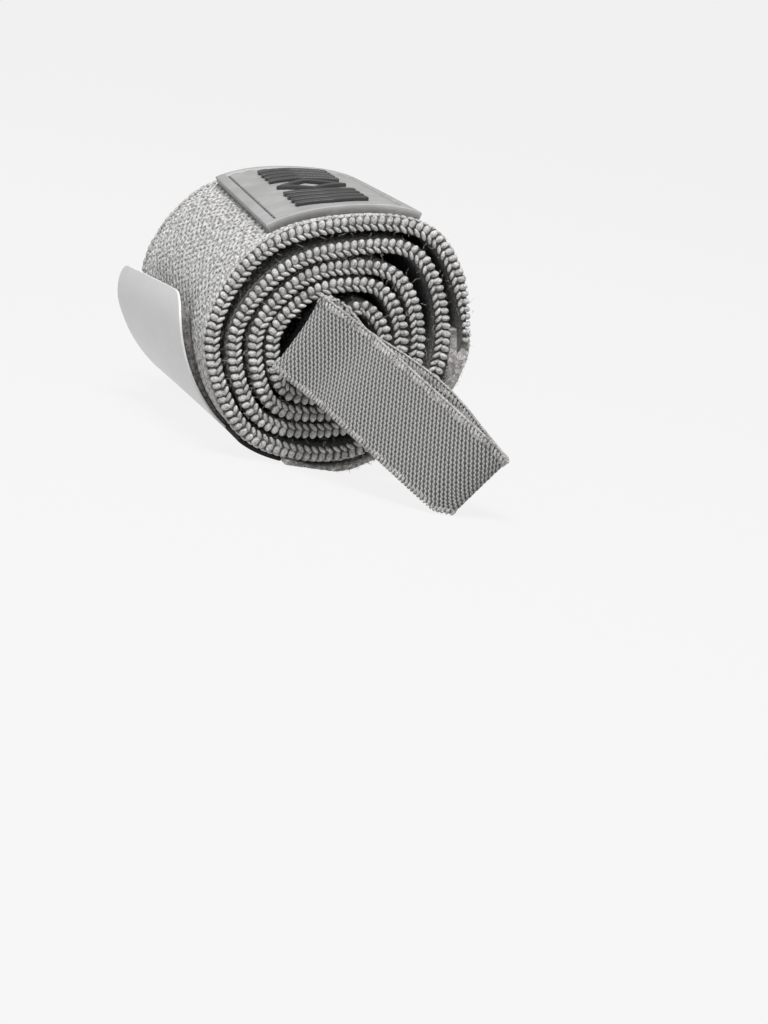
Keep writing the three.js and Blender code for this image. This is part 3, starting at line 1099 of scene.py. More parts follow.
@dataclass
class KnitBand:
    """The rolled band: its body with a raised knit, the stitches over its two edges and loose fibres."""

    LEGS: ClassVar[tuple[Leg, ...]] = (
        Leg(up=1.0, ahead=0.3, centre=0.62, long=0.88, wide=0.62, deep=0.72),
        Leg(up=-0.8, ahead=0.85, centre=-0.68, long=0.92, wide=0.4, deep=0.62),
    )

    roll: Roll
    finishes: Finishes
    end_angle: float = 100
    skive_from: float = 70
    skive_left: float = 0.25
    edge_round: float = 1.2 * MM
    edge_inset: float = 0.55 * MM
    row_pitch: float = 0.375 * MM
    inner_row_pitch: float = 1.5 * MM
    column_pitch: float = 0.65 * MM
    relief: float = 0.28 * MM
    stitch_pitch: float = 1.42 * MM
    stitch_end_angle: float = 97
    stitch_jitter: float = 0.05
    lean_jitter: float = 0.07
    size_jitter: float = 0.06
    row_insets: tuple[float, ...] = (1.5 * MM, 2.5 * MM)
    row_stitch: float = 1.3 * MM
    row_slant: float = 0.5
    row_lift: float = 0.03 * MM
    row_size_jitter: float = 0.12
    fibre_count: int = 900
    fibre_length: float = 1.5 * MM
    fibre_radius: float = 0.035 * MM
    fibre_out: float = 1.35 * MM
    shown_turn: float = 270
    rows_turn: float = 220
    seed: int = 11
    pieces: list[bpy.types.Object] = field(default_factory=list)

    def _rows(self) -> np.ndarray:
        """Spaces the band's rows, fine where its outer face shows.

        Returns:
            Lengths along the band.
        """
        end = self.roll.length_to(self.end_angle)
        shown = round(self.roll.length_to(-self.shown_turn) / self.inner_row_pitch) * self.inner_row_pitch
        inner = np.arange(0, shown, self.inner_row_pitch)
        return np.append(np.concatenate([inner, np.arange(shown, end, self.row_pitch)]), end)

    def _wall(self, lengths: np.ndarray) -> np.ndarray:
        """The band's thickness, thinner over its skived end.

        Args:
            lengths: Lengths along the band.

        Returns:
            The thickness at each.
        """
        skive, end = self.roll.length_to(self.skive_from), self.roll.length_to(self.end_angle)
        thin = np.clip((lengths - skive) / (end - skive), 0, 1)
        return self.roll.band_thickness * (1 - (1 - self.skive_left) * thin)

    def _knit_height(self, along: np.ndarray, across: np.ndarray) -> np.ndarray:
        """The raised knit's height, lowest in its holes.

        Args:
            along: Lengths along the band.
            across: Places across it.

        Returns:
            Heights from 0 to 1.
        """
        knit = KnitFinish()
        holes = np.cos(2 * np.pi * across / knit.column) * np.cos(2 * np.pi * along / knit.course)
        return 1 - np.clip((holes - 0.2) / 0.8, 0, 1)

    def build(self) -> bpy.types.Object:
        """Makes the band's body.

        Returns:
            The body's object.
        """
        rows = self._rows()
        parameters = self.roll.curve.parameter_at_length(rows)
        walls = self._wall(rows)
        inner = -self.roll.band_thickness / 2
        section = StripSection(
            half=self.roll.band_width / 2 - self.edge_inset, thickness=1.0, edge=self.edge_round,
            outer_pitch=self.column_pitch, inner_pitch=self.roll.band_width / 10)

        def place(row: np.ndarray, across: np.ndarray, outward: np.ndarray,
                  _: np.ndarray) -> np.ndarray:
            """Places the band's points.

            Args:
                row: Numbers of the rows.
                across: Places across the band.
                outward: Shares of its thickness.

            Returns:
                One point for each.
            """
            raised = self._knit_height(rows[row], across) - 1
            relief = self.relief * raised * (outward > 0.99)
            return self.roll.place(parameters[row], inner + outward * walls[row] + relief, across)

        body = finished("knit_band", strip_body(rows, section.points(), place), self.finishes.knit, Slot.KNIT)
        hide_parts("band")
        self.pieces = [self._stitches("near_edge_stitches", -1), self._stitches("far_edge_stitches", 1),
                       self._fibres("edge_fibres")]
        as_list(self.pieces)
        return body

    def _stitches(self, name: str, side: int) -> bpy.types.Object:
        """Makes the chevron stitches over one edge.

        Args:
            name: The piece's name.
            side: -1 at the loop end, 1 at the far end.

        Returns:
            The piece's object.
        """
        rng = random.Random(self.seed + side)
        stitches = Repeats()
        curve = self.roll.curve
        count = int(self.roll.length_to(self.stitch_end_angle) / self.stitch_pitch)
        edge = side * (self.roll.band_width / 2 - self.edge_inset)
        for k in range(1, count):
            length = (k + rng.uniform(-self.stitch_jitter, self.stitch_jitter)) * self.stitch_pitch
            parameter = float(curve.parameter_at_length(np.array(length)))
            thin = float(self._wall(np.array(length))) / self.roll.band_thickness
            here, tangent, up = self.roll.axes_at(parameter, 0.0, edge)
            up = unit(up - tangent * float(up @ tangent))
            out = np.array([0.0, side, 0.0])
            size = (1 + rng.uniform(-self.size_jitter, self.size_jitter)) * MM
            for leg in self.LEGS:
                ahead = leg.ahead + rng.uniform(-self.lean_jitter, self.lean_jitter)
                direction = unit(up * leg.up * thin + tangent * ahead)
                beside = np.cross(direction, out)
                centre = here + up * leg.centre * MM * thin + out * rng.uniform(-0.05, 0.08) * MM
                axes = (beside * leg.wide * size, out * leg.deep * size, direction * leg.long * size * thin)
                lobe(stitches.room(), centre, axes, sides=8, rings=6)
        self._edge_rows(stitches, side, rng)
        return finished(name, stitches.joined(), self.finishes.edge_yarn, Slot.KNIT)

    def _edge_rows(self, stitches: Repeats, side: int, rng: random.Random) -> None:
        """Adds the rows of raised stitches beside one edge, on the outer face where it shows.

        Args:
            stitches: The edge's stitches, which they join.
            side: -1 at the loop end, 1 at the far end.
            rng: The source of their unevenness.
        """
        curve = self.roll.curve
        first, last = self.roll.length_to(-self.rows_turn), self.roll.length_to(self.skive_from)
        outward = self.roll.band_thickness / 2
        for row, inset in enumerate(self.row_insets):
            for length in np.arange(first, last, self.row_stitch):
                parameter = float(curve.parameter_at_length(length + rng.uniform(-0.15, 0.15) * MM))
                y = side * (self.roll.band_width / 2 - inset + rng.uniform(-0.08, 0.08) * MM)
                here, tangent, up = self.roll.axes_at(parameter, outward, y)
                slant = unit(tangent + np.array([0.0, self.row_slant * (-1) ** row, 0.0]))
                beside = np.cross(slant, up)
                size = (1 + rng.uniform(-self.row_size_jitter, self.row_size_jitter)) * MM
                lobe(stitches.room(), here + up * self.row_lift,
                     (beside * 0.4 * size, up * 0.34 * size, slant * 0.78 * size), sides=6, rings=5)

    def _fibres(self, name: str) -> bpy.types.Object:
        """Makes the loose fibres that stand out of the end faces.

        Args:
            name: The piece's name.

        Returns:
            The piece's object.
        """
        rng = random.Random(self.seed)
        fibres = Repeats()
        curve = self.roll.curve
        total = self.roll.length_to(self.end_angle)
        for _ in range(self.fibre_count):
            side = rng.choice((-1, 1))
            parameter = float(curve.parameter_at_length(np.array(rng.uniform(0.02, 0.99) * total)))
            outward = rng.choice((-self.fibre_out, self.fibre_out)) + rng.uniform(-0.3, 0.3) * MM
            edge = side * (self.roll.band_width / 2 - 0.5 * MM)
            root = Vector(self.roll.place(parameter, outward, np.array(edge)))
            aim = Vector((rng.gauss(0, 0.8), side * rng.uniform(0.2, 0.9), rng.gauss(0, 0.8))).normalized()
            length = self.fibre_length * rng.uniform(0.5, 1.3)
            fibre(fibres.room(), root, aim, length, self.fibre_radius, rng)
        return finished(name, fibres.joined(), self.finishes.lint, Slot.KNIT)


def fibre(bm: bmesh.types.BMesh, root: Vector, aim: Vector, length: float, radius: float,
          rng: random.Random) -> None:
    """Adds one bent fibre, a thin cone in two lengths.

    Args:
        bm: The bmesh it joins.
        root: Where it starts.
        aim: The direction that it starts in.
        length: Its length.
        radius: Its radius at the root.
        rng: The source of its bend.
    """
    bent = (aim + Vector((rng.gauss(0, 0.5), rng.gauss(0, 0.3), rng.gauss(0, 0.5)))).normalized()
    knee, waist = root + aim * length * 0.48, radius * 0.8
    for start, way, thick, thin in ((root, aim, radius, waist), (knee, bent, waist, radius * 0.4)):
        turn = way.to_track_quat("Z", "Y").to_matrix().to_4x4()
        middle = Matrix.Translation(start + way * length * 0.25) @ turn
        bmesh.ops.create_cone(bm, segments=3, radius1=thick, radius2=thin, depth=length * 0.5,
                              cap_ends=True, matrix=middle)


@dataclass
class EndPanel:
    """The thin fuzzy panel sewn to the band's outer end, under the roll."""

    roll: Roll
    finishes: Finishes
    start: float = 88
    end: float = 203.6
    margin: float = 0.6 * MM
    row_step: float = 1.2
    column_pitch: float = 2.0 * MM
    waver: float = 0.12 * MM
    seam_gap: float = 0.3 * MM
    grow: float = 9
    thin_start: float = 0.3
    fill_from: float = 104
    fill_to: float = 118
    margins: tuple[Row, ...] = (
        Row(88, 2.4), Row(95, 1.4), Row(102, 0.1), Row(112, -0.2), Row(122, 0.6))
    edge_round: float = 0.35 * MM
    fibre_count: int = 2600
    fibre_radius: float = 0.05 * MM
    fibre_sunk: float = 0.1 * MM
    floor_gap: float = 0.02 * MM
    seed: int = 23

    def lift(self, angle: np.ndarray) -> np.ndarray:
        """The panel's lift off the turn under it."""
        return np.maximum(self.seam_gap, self.roll.band_thickness * row_value(self.roll.panel_lift, angle))

    def _half(self, angle: np.ndarray) -> np.ndarray:
        """Half the panel's width, a little more where it is folded over the band's end."""
        return self.roll.band_width / 2 - row_value(self.margins, angle) * MM

    def wall(self, angle: np.ndarray) -> np.ndarray:
        """The panel's thickness, which grows from a thin start over the band's skived end."""
        grown = np.clip((angle - self.start) / self.grow, 0, 1)
        return self.roll.panel_thickness * (self.thin_start + (1 - self.thin_start) * np.sqrt(grown))

    def build(self) -> bpy.types.Object:
        """Makes the panel and its fuzz.

        Returns:
            The panel's object.
        """
        half = self.roll.band_width / 2 - self.margin
        angles = np.linspace(self.start, self.end, round((self.end - self.start) / self.row_step) + 1)
        rows = np.radians(angles) * self.roll.rest_depth
        columns = np.linspace(-half, half, round(2 * half / self.column_pitch) + 1)

        def place(along: np.ndarray, across: np.ndarray, outer: bool) -> np.ndarray:
            """Places the panel's points.

            Args:
                along: Places round the roll.
                across: Places across the panel.
                outer: Whether they are on its outer face.

            Returns:
                One point for each.
            """
            angle = np.degrees(along / self.roll.rest_depth)
            wave = self.waver * np.sin(across * 520 + along * 300) * np.sin(along * 410)
            lift = self.lift(angle)
            y = across * self._half(angle) / half
            if outer:
                return self.roll.on_ply(angle, lift + self.wall(angle) + wave, y)
            filled = np.clip((self.fill_to - angle) / (self.fill_to - self.fill_from), 0, 1)
            return self.roll.on_ply(angle, lift + (self.seam_gap - lift) * filled, y)

        bm = sheet_body(rows, columns, place, edge=self.edge_round)
        panel = finished("loop_panel", bm, self.finishes.pile, Slot.PILE)
        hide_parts("end_panel")
        fuzz = self._fuzz()
        return panel

    def _fuzz(self) -> bpy.types.Object:
        """Makes the loose fibres along the panel's two edges.

        Returns:
            The piece's object.
        """
        rng = random.Random(self.seed)
        fibres = Repeats()
        for _ in range(self.fibre_count):
            share = rng.random()
            angle = np.array(self.start + 1 + (self.end - self.start - 2) * share * share)
            side = rng.choice((-1, 1))
            top = float(self.lift(angle) + self.wall(angle))
            low = self.seam_gap if angle < self.fill_to else float(self.lift(angle))
            root = Vector(self.roll.on_ply(angle, rng.uniform(low, top), side * self._half(angle)))
            aim = Vector((rng.gauss(0, 0.7), side * rng.uniform(0.2, 0.8), rng.gauss(0.2, 0.6))).normalized()
            length = rng.uniform(0.5, 1.2) * MM
            fibre(fibres.room(), root - aim * self.fibre_sunk, aim, length, self.fibre_radius, rng)
        bm = fibres.joined()
        for vert in bm.verts:
            vert.co.z = max(vert.co.z, self.floor_gap)
        return finished("panel_fibres", bm, self.finishes.lint, Slot.PILE)


@dataclass
class HookTab:
    """The pale hook tape, its hooks, and the pile ply behind it, coloured dark as painted shade under the
    tape.
    """

    roll: Roll
    finishes: Finishes
    width: float = 50 * MM
    thickness: float = 0.9 * MM
    corner: float = 7 * MM
    peel: float = 7.2 * MM
    start: float = 204.6
    tip_near: float = 283
    tip_far: float = 275
    least_lift: float = 0.3 * MM
    lift_table: tuple[Row, ...] = (
        Row(204, 0.045, 0.045), Row(224, 0.05, 0.08), Row(236, 0.07, 0.35),
        Row(249, 0.12, 0.62), Row(262, 0.17, 0.84), Row(284, 0.3, 1.0),
    )
    backing: float = 0.45 * MM
    hook_pitch: float = 1.5 * MM
    hook_columns: int = 16
    hook_shake: float = 0.01
    hook_sunk: float = 0.05 * MM
    hook_tip: float = 0.1 * MM
    hook_root: float = 0.12 * MM
    hook_head: float = 0.22 * MM
    pile_ply: float = 1.5 * MM
    ply_reach: float = 0.93
    ply_near: float = 0.4 * MM
    ply_far: float = 1.5 * MM
    ply_gap: float = 0.02 * MM
    seed: int = 31

    def lift(self, angle: np.ndarray, y: np.ndarray) -> np.ndarray:
        """The tape's lift off the turn under it, more at its far side.

        Args:
            angle: Angles round the last turn, in degrees.
            y: Places along the roll.

        Returns:
            The lift at each place.
        """
        far = np.clip(y / self.width + 0.5, 0, 1)
        near_lift = row_value(self.lift_table, angle)
        far_lift = row_value(self.lift_table, angle, far=True)
        return np.maximum(self.least_lift, self.peel * (near_lift * (1 - far) + far_lift * far))

    def reach(self) -> float:
        """The tape's length from its root to its tip."""
        return math.radians(self.tip_near - self.start) * self.roll.rest_depth

    def _spot(self, along: np.ndarray, share: np.ndarray) -> tuple[np.ndarray, np.ndarray]:
        """Places on the tape, drawn in round its two tip corners.

        Args:
            along: Lengths from its root.
            share: Places across it, from -1 to 1.

        Returns:
            Their angles round the roll and their places along it.
        """
        past = np.clip(1 - (self.reach() - along) / self.corner, 0, 1)
        y = share * (self.width / 2 - self.corner * (1 - np.sqrt(1 - past**2)))
        tip = self.tip_near + (self.tip_far - self.tip_near) * (y / self.width + 0.5)
        return self.start + (tip - self.start) * along / self.reach(), y

    def _on_tape(self, along: np.ndarray, share: np.ndarray, level: float) -> np.ndarray:
        """Points of the tape.

        Args:
            along: Lengths from its root.
            share: Places across it, from -1 to 1.
            level: A height over its inner face.

        Returns:
            One point for each place.
        """
        angle, y = self._spot(along, share)
        return self.roll.on_ply(angle, self.lift(angle, y) + level, y)

    def build(self, label: list[bpy.types.Object]) -> bpy.types.Object:
        """Makes the tape, its hooks and the pile ply.

        Args:
            label: The pieces of the label beside its root.

        Returns:
            The tape's object.
        """
        straight = np.linspace(0, self.reach() - self.corner, 26)
        bend = self.reach() - self.corner * (1 - np.sin(np.radians(np.linspace(0, 90, 10))))
        rows = np.concatenate([straight, bend[1:]])
        columns = np.linspace(-self.width / 2, self.width / 2, 41)

        def place(along: np.ndarray, across: np.ndarray, outer: bool) -> np.ndarray:
            """Points of the tape's outer or inner face, from lengths along it and places across."""
            level = self.thickness if outer else self.thickness - self.backing
            return self._on_tape(along, across * 2 / self.width, level)

        tape = finished("hook_tape", sheet_body(rows, columns, place, edge=0.12 * MM),
                        self.finishes.hook_tape, Slot.HOOK_PLASTIC)
        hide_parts("hook_tab")
        with_tape = [self._hooks(), self._ply(), *label]
        return tape

    def _hooks(self) -> bpy.types.Object:
        """Makes the small hooks on the tape's inner face.

        Returns:
            The piece's object.
        """
        hooks = Repeats()
        rng = random.Random(self.seed)
        for i in range(1, int(self.reach() / self.hook_pitch)):
            for j in range(1 - self.hook_columns, self.hook_columns):
                along = np.array(i * self.hook_pitch)
                share = np.array(j / self.hook_columns + rng.uniform(-self.hook_shake, self.hook_shake))
                root = Vector(self._on_tape(along, share, self.thickness - self.backing + self.hook_sunk))
                tip = Vector(self._on_tape(along, share, self.hook_tip))
                if (root - tip).length < self.hook_tip:
                    continue
                turn = (tip - root).to_track_quat("Z", "Y").to_matrix().to_4x4()
                middle = Matrix.Translation((root + tip) / 2) @ turn
                bmesh.ops.create_cone(hooks.room(), segments=5, radius1=self.hook_root, cap_ends=True,
                                      radius2=self.hook_head, depth=(tip - root).length, matrix=middle)
        return finished("tape_hooks", hooks.joined(), self.finishes.hook_tape, Slot.HOOK_PLASTIC)

    def _ply(self) -> bpy.types.Object:
        """Makes the pile ply that lies between the tape and the roll, coloured dark as painted shade under
        the tape.

        Returns:
            The piece's object.
        """
        rows = np.linspace(0, self.reach() * self.ply_reach, 40)
        columns = np.linspace(-self.width / 2 + self.ply_near, self.width / 2 - self.ply_far, 25)

        def place(along: np.ndarray, across: np.ndarray, outer: bool) -> np.ndarray:
            """Places the ply's points.

            Args:
                along: Lengths from the tape's root.
                across: Places across it.
                outer: Whether they are on the ply's outer face.

            Returns:
                One point for each.
            """
            angle, y = self._spot(along, across * 2 / self.width)
            top = self.lift(angle, y) + self.thickness - self.backing - self.ply_gap
            return self.roll.on_ply(angle, top if outer else np.maximum(self.ply_gap, top - self.pile_ply), y)

        bm = sheet_body(rows, columns, place, edge=0)
        return finished("tab_pile_ply", bm, self.finishes.pile_in_painted_shade, Slot.PILE)


@dataclass
class WovenLabel:
    """The bare black tape beside the tab's root, with one loose loop of pale thread on it."""

    roll: Roll
    finishes: Finishes
    tab: HookTab
    width: float = 13 * MM
    thickness: float = 0.8 * MM
    start: float = 204.5
    end: float = 224
    gap: float = 0.1 * MM
    seat: float = 0.45 * MM
    edge_round: float = 0.2 * MM
    loop_at: float = 0.42
    loop_from: float = 0.6
    loop_size: float = 1.2 * MM
    loop_height: float = 0.45
    loop_steps: int = 12
    thread_half: float = 0.16 * MM

    def build(self) -> list[bpy.types.Object]:
        """Makes the label and its thread.

        Returns:
            The label's object and the thread's.
        """
        far = -self.tab.width / 2 - self.gap
        angles = np.linspace(self.start, self.end, 19)
        rows = np.radians(angles) * self.roll.rest_depth
        columns = np.linspace(far - self.width, far, 14)

        def place(along: np.ndarray, across: np.ndarray, outer: bool) -> np.ndarray:
            """Points of the label's outer or inner face."""
            angle = np.degrees(along / self.roll.rest_depth)
            return self.roll.on_ply(angle, self.seat + (self.thickness if outer else 0.0), across)

        bm = sheet_body(rows, columns, place, edge=self.edge_round)
        label = finished("woven_label", bm, self.finishes.tape, Slot.BLACK_TAPE)
        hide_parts("tab_label")
        return [label, self._thread(far)]

    def _thread(self, far: float) -> bpy.types.Object:
        """Makes the loop of pale thread that stands on the label's outer face.

        Args:
            far: Where the label's far side lies along the roll.

        Returns:
            The piece's object.
        """
        thread = Repeats()
        y = np.array(far - self.width * self.loop_at)
        top = self.seat + self.thickness
        root, ahead, above = (self.roll.on_ply(np.array(self.start + self.loop_from + step), top + lift, y)
                              for step, lift in ((0.0, 0.0), (1.0, 0.0), (0.0, MM)))
        up = unit(above - root) * self.loop_height
        tangent = unit(ahead - root)
        across = np.array([0.0, 1.0, 0.0])
        for turn in np.linspace(0, 2 * math.pi, self.loop_steps, endpoint=False):
            centre = root + (across * math.cos(turn) + up * math.sin(turn)) * self.loop_size
            along = (up * math.cos(turn) - across * math.sin(turn)) * self.loop_size * 0.42
            high = unit(np.cross(along, tangent))
            axes = (tangent * self.thread_half, high * self.thread_half, along)
            lobe(thread.room(), centre, axes, sides=6, rings=4)
        return finished("label_thread", thread.joined(), self.finishes.thread, Slot.BLACK_TAPE)


@dataclass
class RubberPatch:
    """The moulded patch: its raised rim, its sewn groove, its thread and its raised motif."""

    EDGE_STEPS: ClassVar[tuple[float, ...]] = (
        0, 0.03, 0.08, 0.15, 0.24, 0.6, 1.2, 1.7, 1.85, 2.0, 2.07, 2.2, 2.35, 2.5, 2.63, 2.75)

    roll: Roll
    finishes: Finishes
    start: float = -31.5
    end: float = 37.6
    length: float = 69 * MM
    thickness: float = 1.4 * MM
    rim: float = 1.7 * MM
    rim_height: float = 0.35 * MM
    edge_round: float = 0.24 * MM
    seat: float = 0.06 * MM
    groove_at: float = 2.35 * MM
    groove_half: float = 0.28 * MM
    groove_depth: float = 0.34 * MM
    gap: float = 0.3 * MM
    thread_pitch: float = 2.9 * MM
    thread_length: float = 1.05 * MM
    thread_half: float = 0.16 * MM
    thread_depth: float = 0.35
    bars: int = 4
    bar_width: float = 2.6 * MM
    bar_space: float = 2.3 * MM
    bar_length: float = 13 * MM
    bar_slant: float = 2.4 * MM
    motif_height: float = 0.5 * MM
    motif_gap: float = 0.25 * MM
    motif_margin: float = 8.6 * MM
    lozenge_length: float = 15 * MM
    lozenge_width: float = 13 * MM
    lozenge_line: float = 2.2 * MM
    lozenge_steps: int = 8
    motif_root: float = 0.1 * MM

    def width(self) -> float:
        """Measures the patch round the roll.

        Returns:
            Its width.
        """
        ends = self.roll.parameter_at(self.roll.last_turn + np.array([self.start, self.end]))
        points, _ = self.roll.curve.at(np.linspace(*ends, 25))
        return float(np.linalg.norm(np.diff(points, axis=0), axis=1).sum())

    def _on(self, across: np.ndarray, along: np.ndarray, up: np.ndarray | float) -> np.ndarray:
        """Points on the patch.

        Args:
            across: Distances across it from its first edge.
            along: Places along the roll.
            up: Heights over its underside.

        Returns:
            One point for each place.
        """
        ends = self.roll.parameter_at(self.roll.last_turn + np.array([self.start, self.end]))
        parameter = ends[0] + (ends[1] - ends[0]) * across / self.width()
        return self.roll.place(parameter, self.roll.band_thickness / 2 + self.gap + up, along)

    def _top(self, inset: np.ndarray) -> np.ndarray:
        """The top's height over its round edge, rim, groove and field.

        Args:
            inset: Distances in from the nearest edge.

        Returns:
            Heights over the patch's underside.
        """
        edge = np.clip(inset / self.edge_round, 0, 1)
        rounded = self.thickness - self.edge_round * (1 - np.sqrt(1 - (1 - edge)**2))
        fall = np.clip((inset - self.rim) / self.rim_height, 0, 1)
        groove = np.clip(1 - np.abs(inset - self.groove_at) / self.groove_half, 0, 1)
        return rounded - self.rim_height * ease(fall) - self.groove_depth * ease(groove)

    def _steps(self, span: float, pitch: float) -> np.ndarray:
        """Spaces places over a span, close together over its two edges.

        Args:
            span: The span's length.
            pitch: The spacing between the edges.

        Returns:
            The places, from 0.
        """
        edge = np.array(self.EDGE_STEPS) * MM
        inside = np.linspace(edge[-1], span - edge[-1], max(2, round((span - 2 * edge[-1]) / pitch)))
        return np.concatenate([edge, inside[1:-1], (span - edge)[::-1]])

    def build(self) -> bpy.types.Object:
        """Makes the patch, its thread and its motif.

        Returns:
            The patch's object.
        """
        width = self.width()
        rows = self._steps(width, 0.9 * MM)
        columns = self._steps(self.length, 1.6 * MM)

        def place(along: np.ndarray, across: np.ndarray, outer: bool) -> np.ndarray:
            """Places the patch's points.

            Args:
                along: Distances across the patch from its first edge.
                across: Distances along it from its near edge.
                outer: Whether they are on its top.

            Returns:
                One point for each.
            """
            inset = np.minimum(np.minimum(along, width - along), np.minimum(across, self.length - across))
            up = self._top(inset) if outer else np.full_like(along, self.seat - self.gap)
            return self._on(along, across - self.length / 2, up)

        bm = sheet_body(rows, columns, place, edge=0)
        rubber = RubberFinish(colour=0.335, soil=0.27, groove=(self.groove_at, width, self.length))
        patch = finished("rubber_patch", bm, rubber.make("patch_rubber"), Slot.PATCH_RUBBER)
        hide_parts("patch")
        self._thread(width)
        for k in range(2 * self.bars):
            self._bar(k)
        self._lozenge()
        return patch

    def _thread(self, width: float) -> None:
        """Sews the thread round the groove, one dash after another.

        Args:
            width: The patch's width round the roll.
        """
        thread = Repeats()
        inset = self.groove_at
        corners = [(inset, inset), (width - inset, inset), (width - inset, self.length - inset),
                   (inset, self.length - inset)]
        up = self.thickness - self.rim_height - self.groove_depth * self.thread_depth
        for start, end in zip(corners, corners[1:] + corners[:1]):
            start, end = np.array(start), np.array(end)
            span = float(np.linalg.norm(end - start))
            count = round(span / self.thread_pitch)
            for k in range(count):
                middle = start + (end - start) * (k + 0.5) / count
                step = (end - start) / span * self.thread_length
                points = [self._on(np.array(p[0]), np.array(p[1] - self.length / 2), up)
                          for p in (middle - step, middle, middle + step)]
                above = self._on(np.array(middle[0]), np.array(middle[1] - self.length / 2), up + 0.2 * MM)
                long = (points[2] - points[0]) / 2
                high = unit(above - points[1])
                wide = np.cross(unit(long), high)
                axes = (wide * self.thread_half, high * self.thread_half, long)
                lobe(thread.room(), points[1], axes, sides=8, rings=6)
        dark = YarnFinish(light=0.16, dark=0.05).make("groove_thread")
        finished("patch_thread", thread.joined(), dark, Slot.PATCH_RUBBER)

    def _raised(self, name: str, rows: np.ndarray, columns: np.ndarray,
                flat: Callable[[np.ndarray, np.ndarray], tuple[np.ndarray, np.ndarray]]) -> None:
        """Makes one raised shape of the motif, with soft edges.

        Args:
            name: The piece's name, and the node that it stands for.
            rows: Places across the patch.
            columns: Places along it.
            flat: Moves those places to the shape.
        """
        floor = self.thickness - self.rim_height
        width = self.width()

        def place(a: np.ndarray, b: np.ndarray, outer: bool) -> np.ndarray:
            """Places the shape's points.

            Args:
                a: Places across the patch.
                b: Places along it.
                outer: Whether they are on the shape's top.

            Returns:
                One point for each.
            """
            across, along = flat(a, b)
            up = floor + (self.motif_gap + self.motif_height if outer else -self.motif_root)
            return self._on(width / 2 + across, along, up)

        piece = finished(f"{name}_raised", sheet_body(rows, columns, place, edge=0),
                         self.finishes.motif, Slot.MOTIF_RUBBER)
        soften(piece)
        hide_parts(name)

    def _bar(self, k: int) -> None:
        """Makes one slanted bar.

        Args:
            k: The bar's number from 0.
        """
        side = -1 if k < self.bars else 1
        first = self.lozenge_length / 2 + self.bar_space + self.bar_width / 2 - self.bar_slant / 2
        last = self.length / 2 - self.motif_margin - self.bar_width / 2
        middle = side * (first + (last - first) * (k % self.bars) / (self.bars - 1))
        rows = np.linspace(-self.bar_length / 2, self.bar_length / 2, 17)
        columns = np.linspace(-self.bar_width / 2, self.bar_width / 2, 4)

        def flat(a: np.ndarray, b: np.ndarray) -> tuple[np.ndarray, np.ndarray]:
            """Slants the bar's two halves, away from the motif's middle."""
            return a, middle + b - side * self.bar_slant * (np.abs(a) / self.bar_length - 0.5)

        self._raised(f"patch_bar_{k + 1}", rows, columns, flat)

    def _lozenge(self) -> None:
        """Makes the lozenge ring, its top first and its walls drawn down from it."""
        bm = bmesh.new()
        width = self.width()
        corners = ((1, 0), (0, 1), (-1, 0), (0, -1))
        top = self.thickness - self.rim_height + self.motif_gap + self.motif_height
        steps = self.lozenge_steps

        def ring_point(k: int, share: float) -> tuple[float, float]:
            """Finds one point of the ring.

            Args:
                k: The point's number round it.
                share: Its place from the outer line at 0 to the inner line at 1.

            Returns:
                Its place across and along the patch, from the ring's middle.
            """
            start, end = corners[(k // steps) % 4], corners[(k // steps + 1) % 4]
            a, b = (start[i] + (end[i] - start[i]) * (k % steps) / steps for i in (0, 1))
            line = self.lozenge_line * share
            return a * (self.lozenge_width / 2 - line), b * (self.lozenge_length / 2 - line)

        count = 4 * steps
        bmesh.ops.create_grid(bm, x_segments=count, y_segments=2, size=0.5)
        for vert in bm.verts:
            a, b = ring_point(round((vert.co.x + 0.5) * count) % count, vert.co.y + 0.5)
            vert.co = Vector(self._on(np.array(width / 2 + a), np.array(b), top))
        bmesh.ops.remove_doubles(bm, verts=bm.verts, dist=1e-6)
        grown = bmesh.ops.extrude_face_region(bm, geom=list(bm.faces), use_keep_orig=True)
        low, high = (Vector(self._on(np.array(width / 2), np.array(0.0), up))
                     for up in (0.0, self.motif_height + self.motif_gap + self.motif_root))
        lowered = [item for item in grown["geom"] if isinstance(item, bmesh.types.BMVert)]
        bmesh.ops.translate(bm, verts=lowered, vec=low - high)
        smooth_faces(bm)
        piece = finished("patch_lozenge_raised", bm, self.finishes.motif, Slot.MOTIF_RUBBER)
        soften(piece)
        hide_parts("patch_lozenge")


@dataclass(frozen=True)
class Fold:
    """A point of the loop's fold: shares of its length out of the face, back over the core and aside."""

    out: float
    back: float
    aside: float


@dataclass(frozen=True)
class Seam:
    """A row of stitches along one edge of the ribbon: its side, its direction and its half sizes."""

    side: int
    inset: float
    over: float
    ahead: float
    long: float
    wide: float
    deep: float


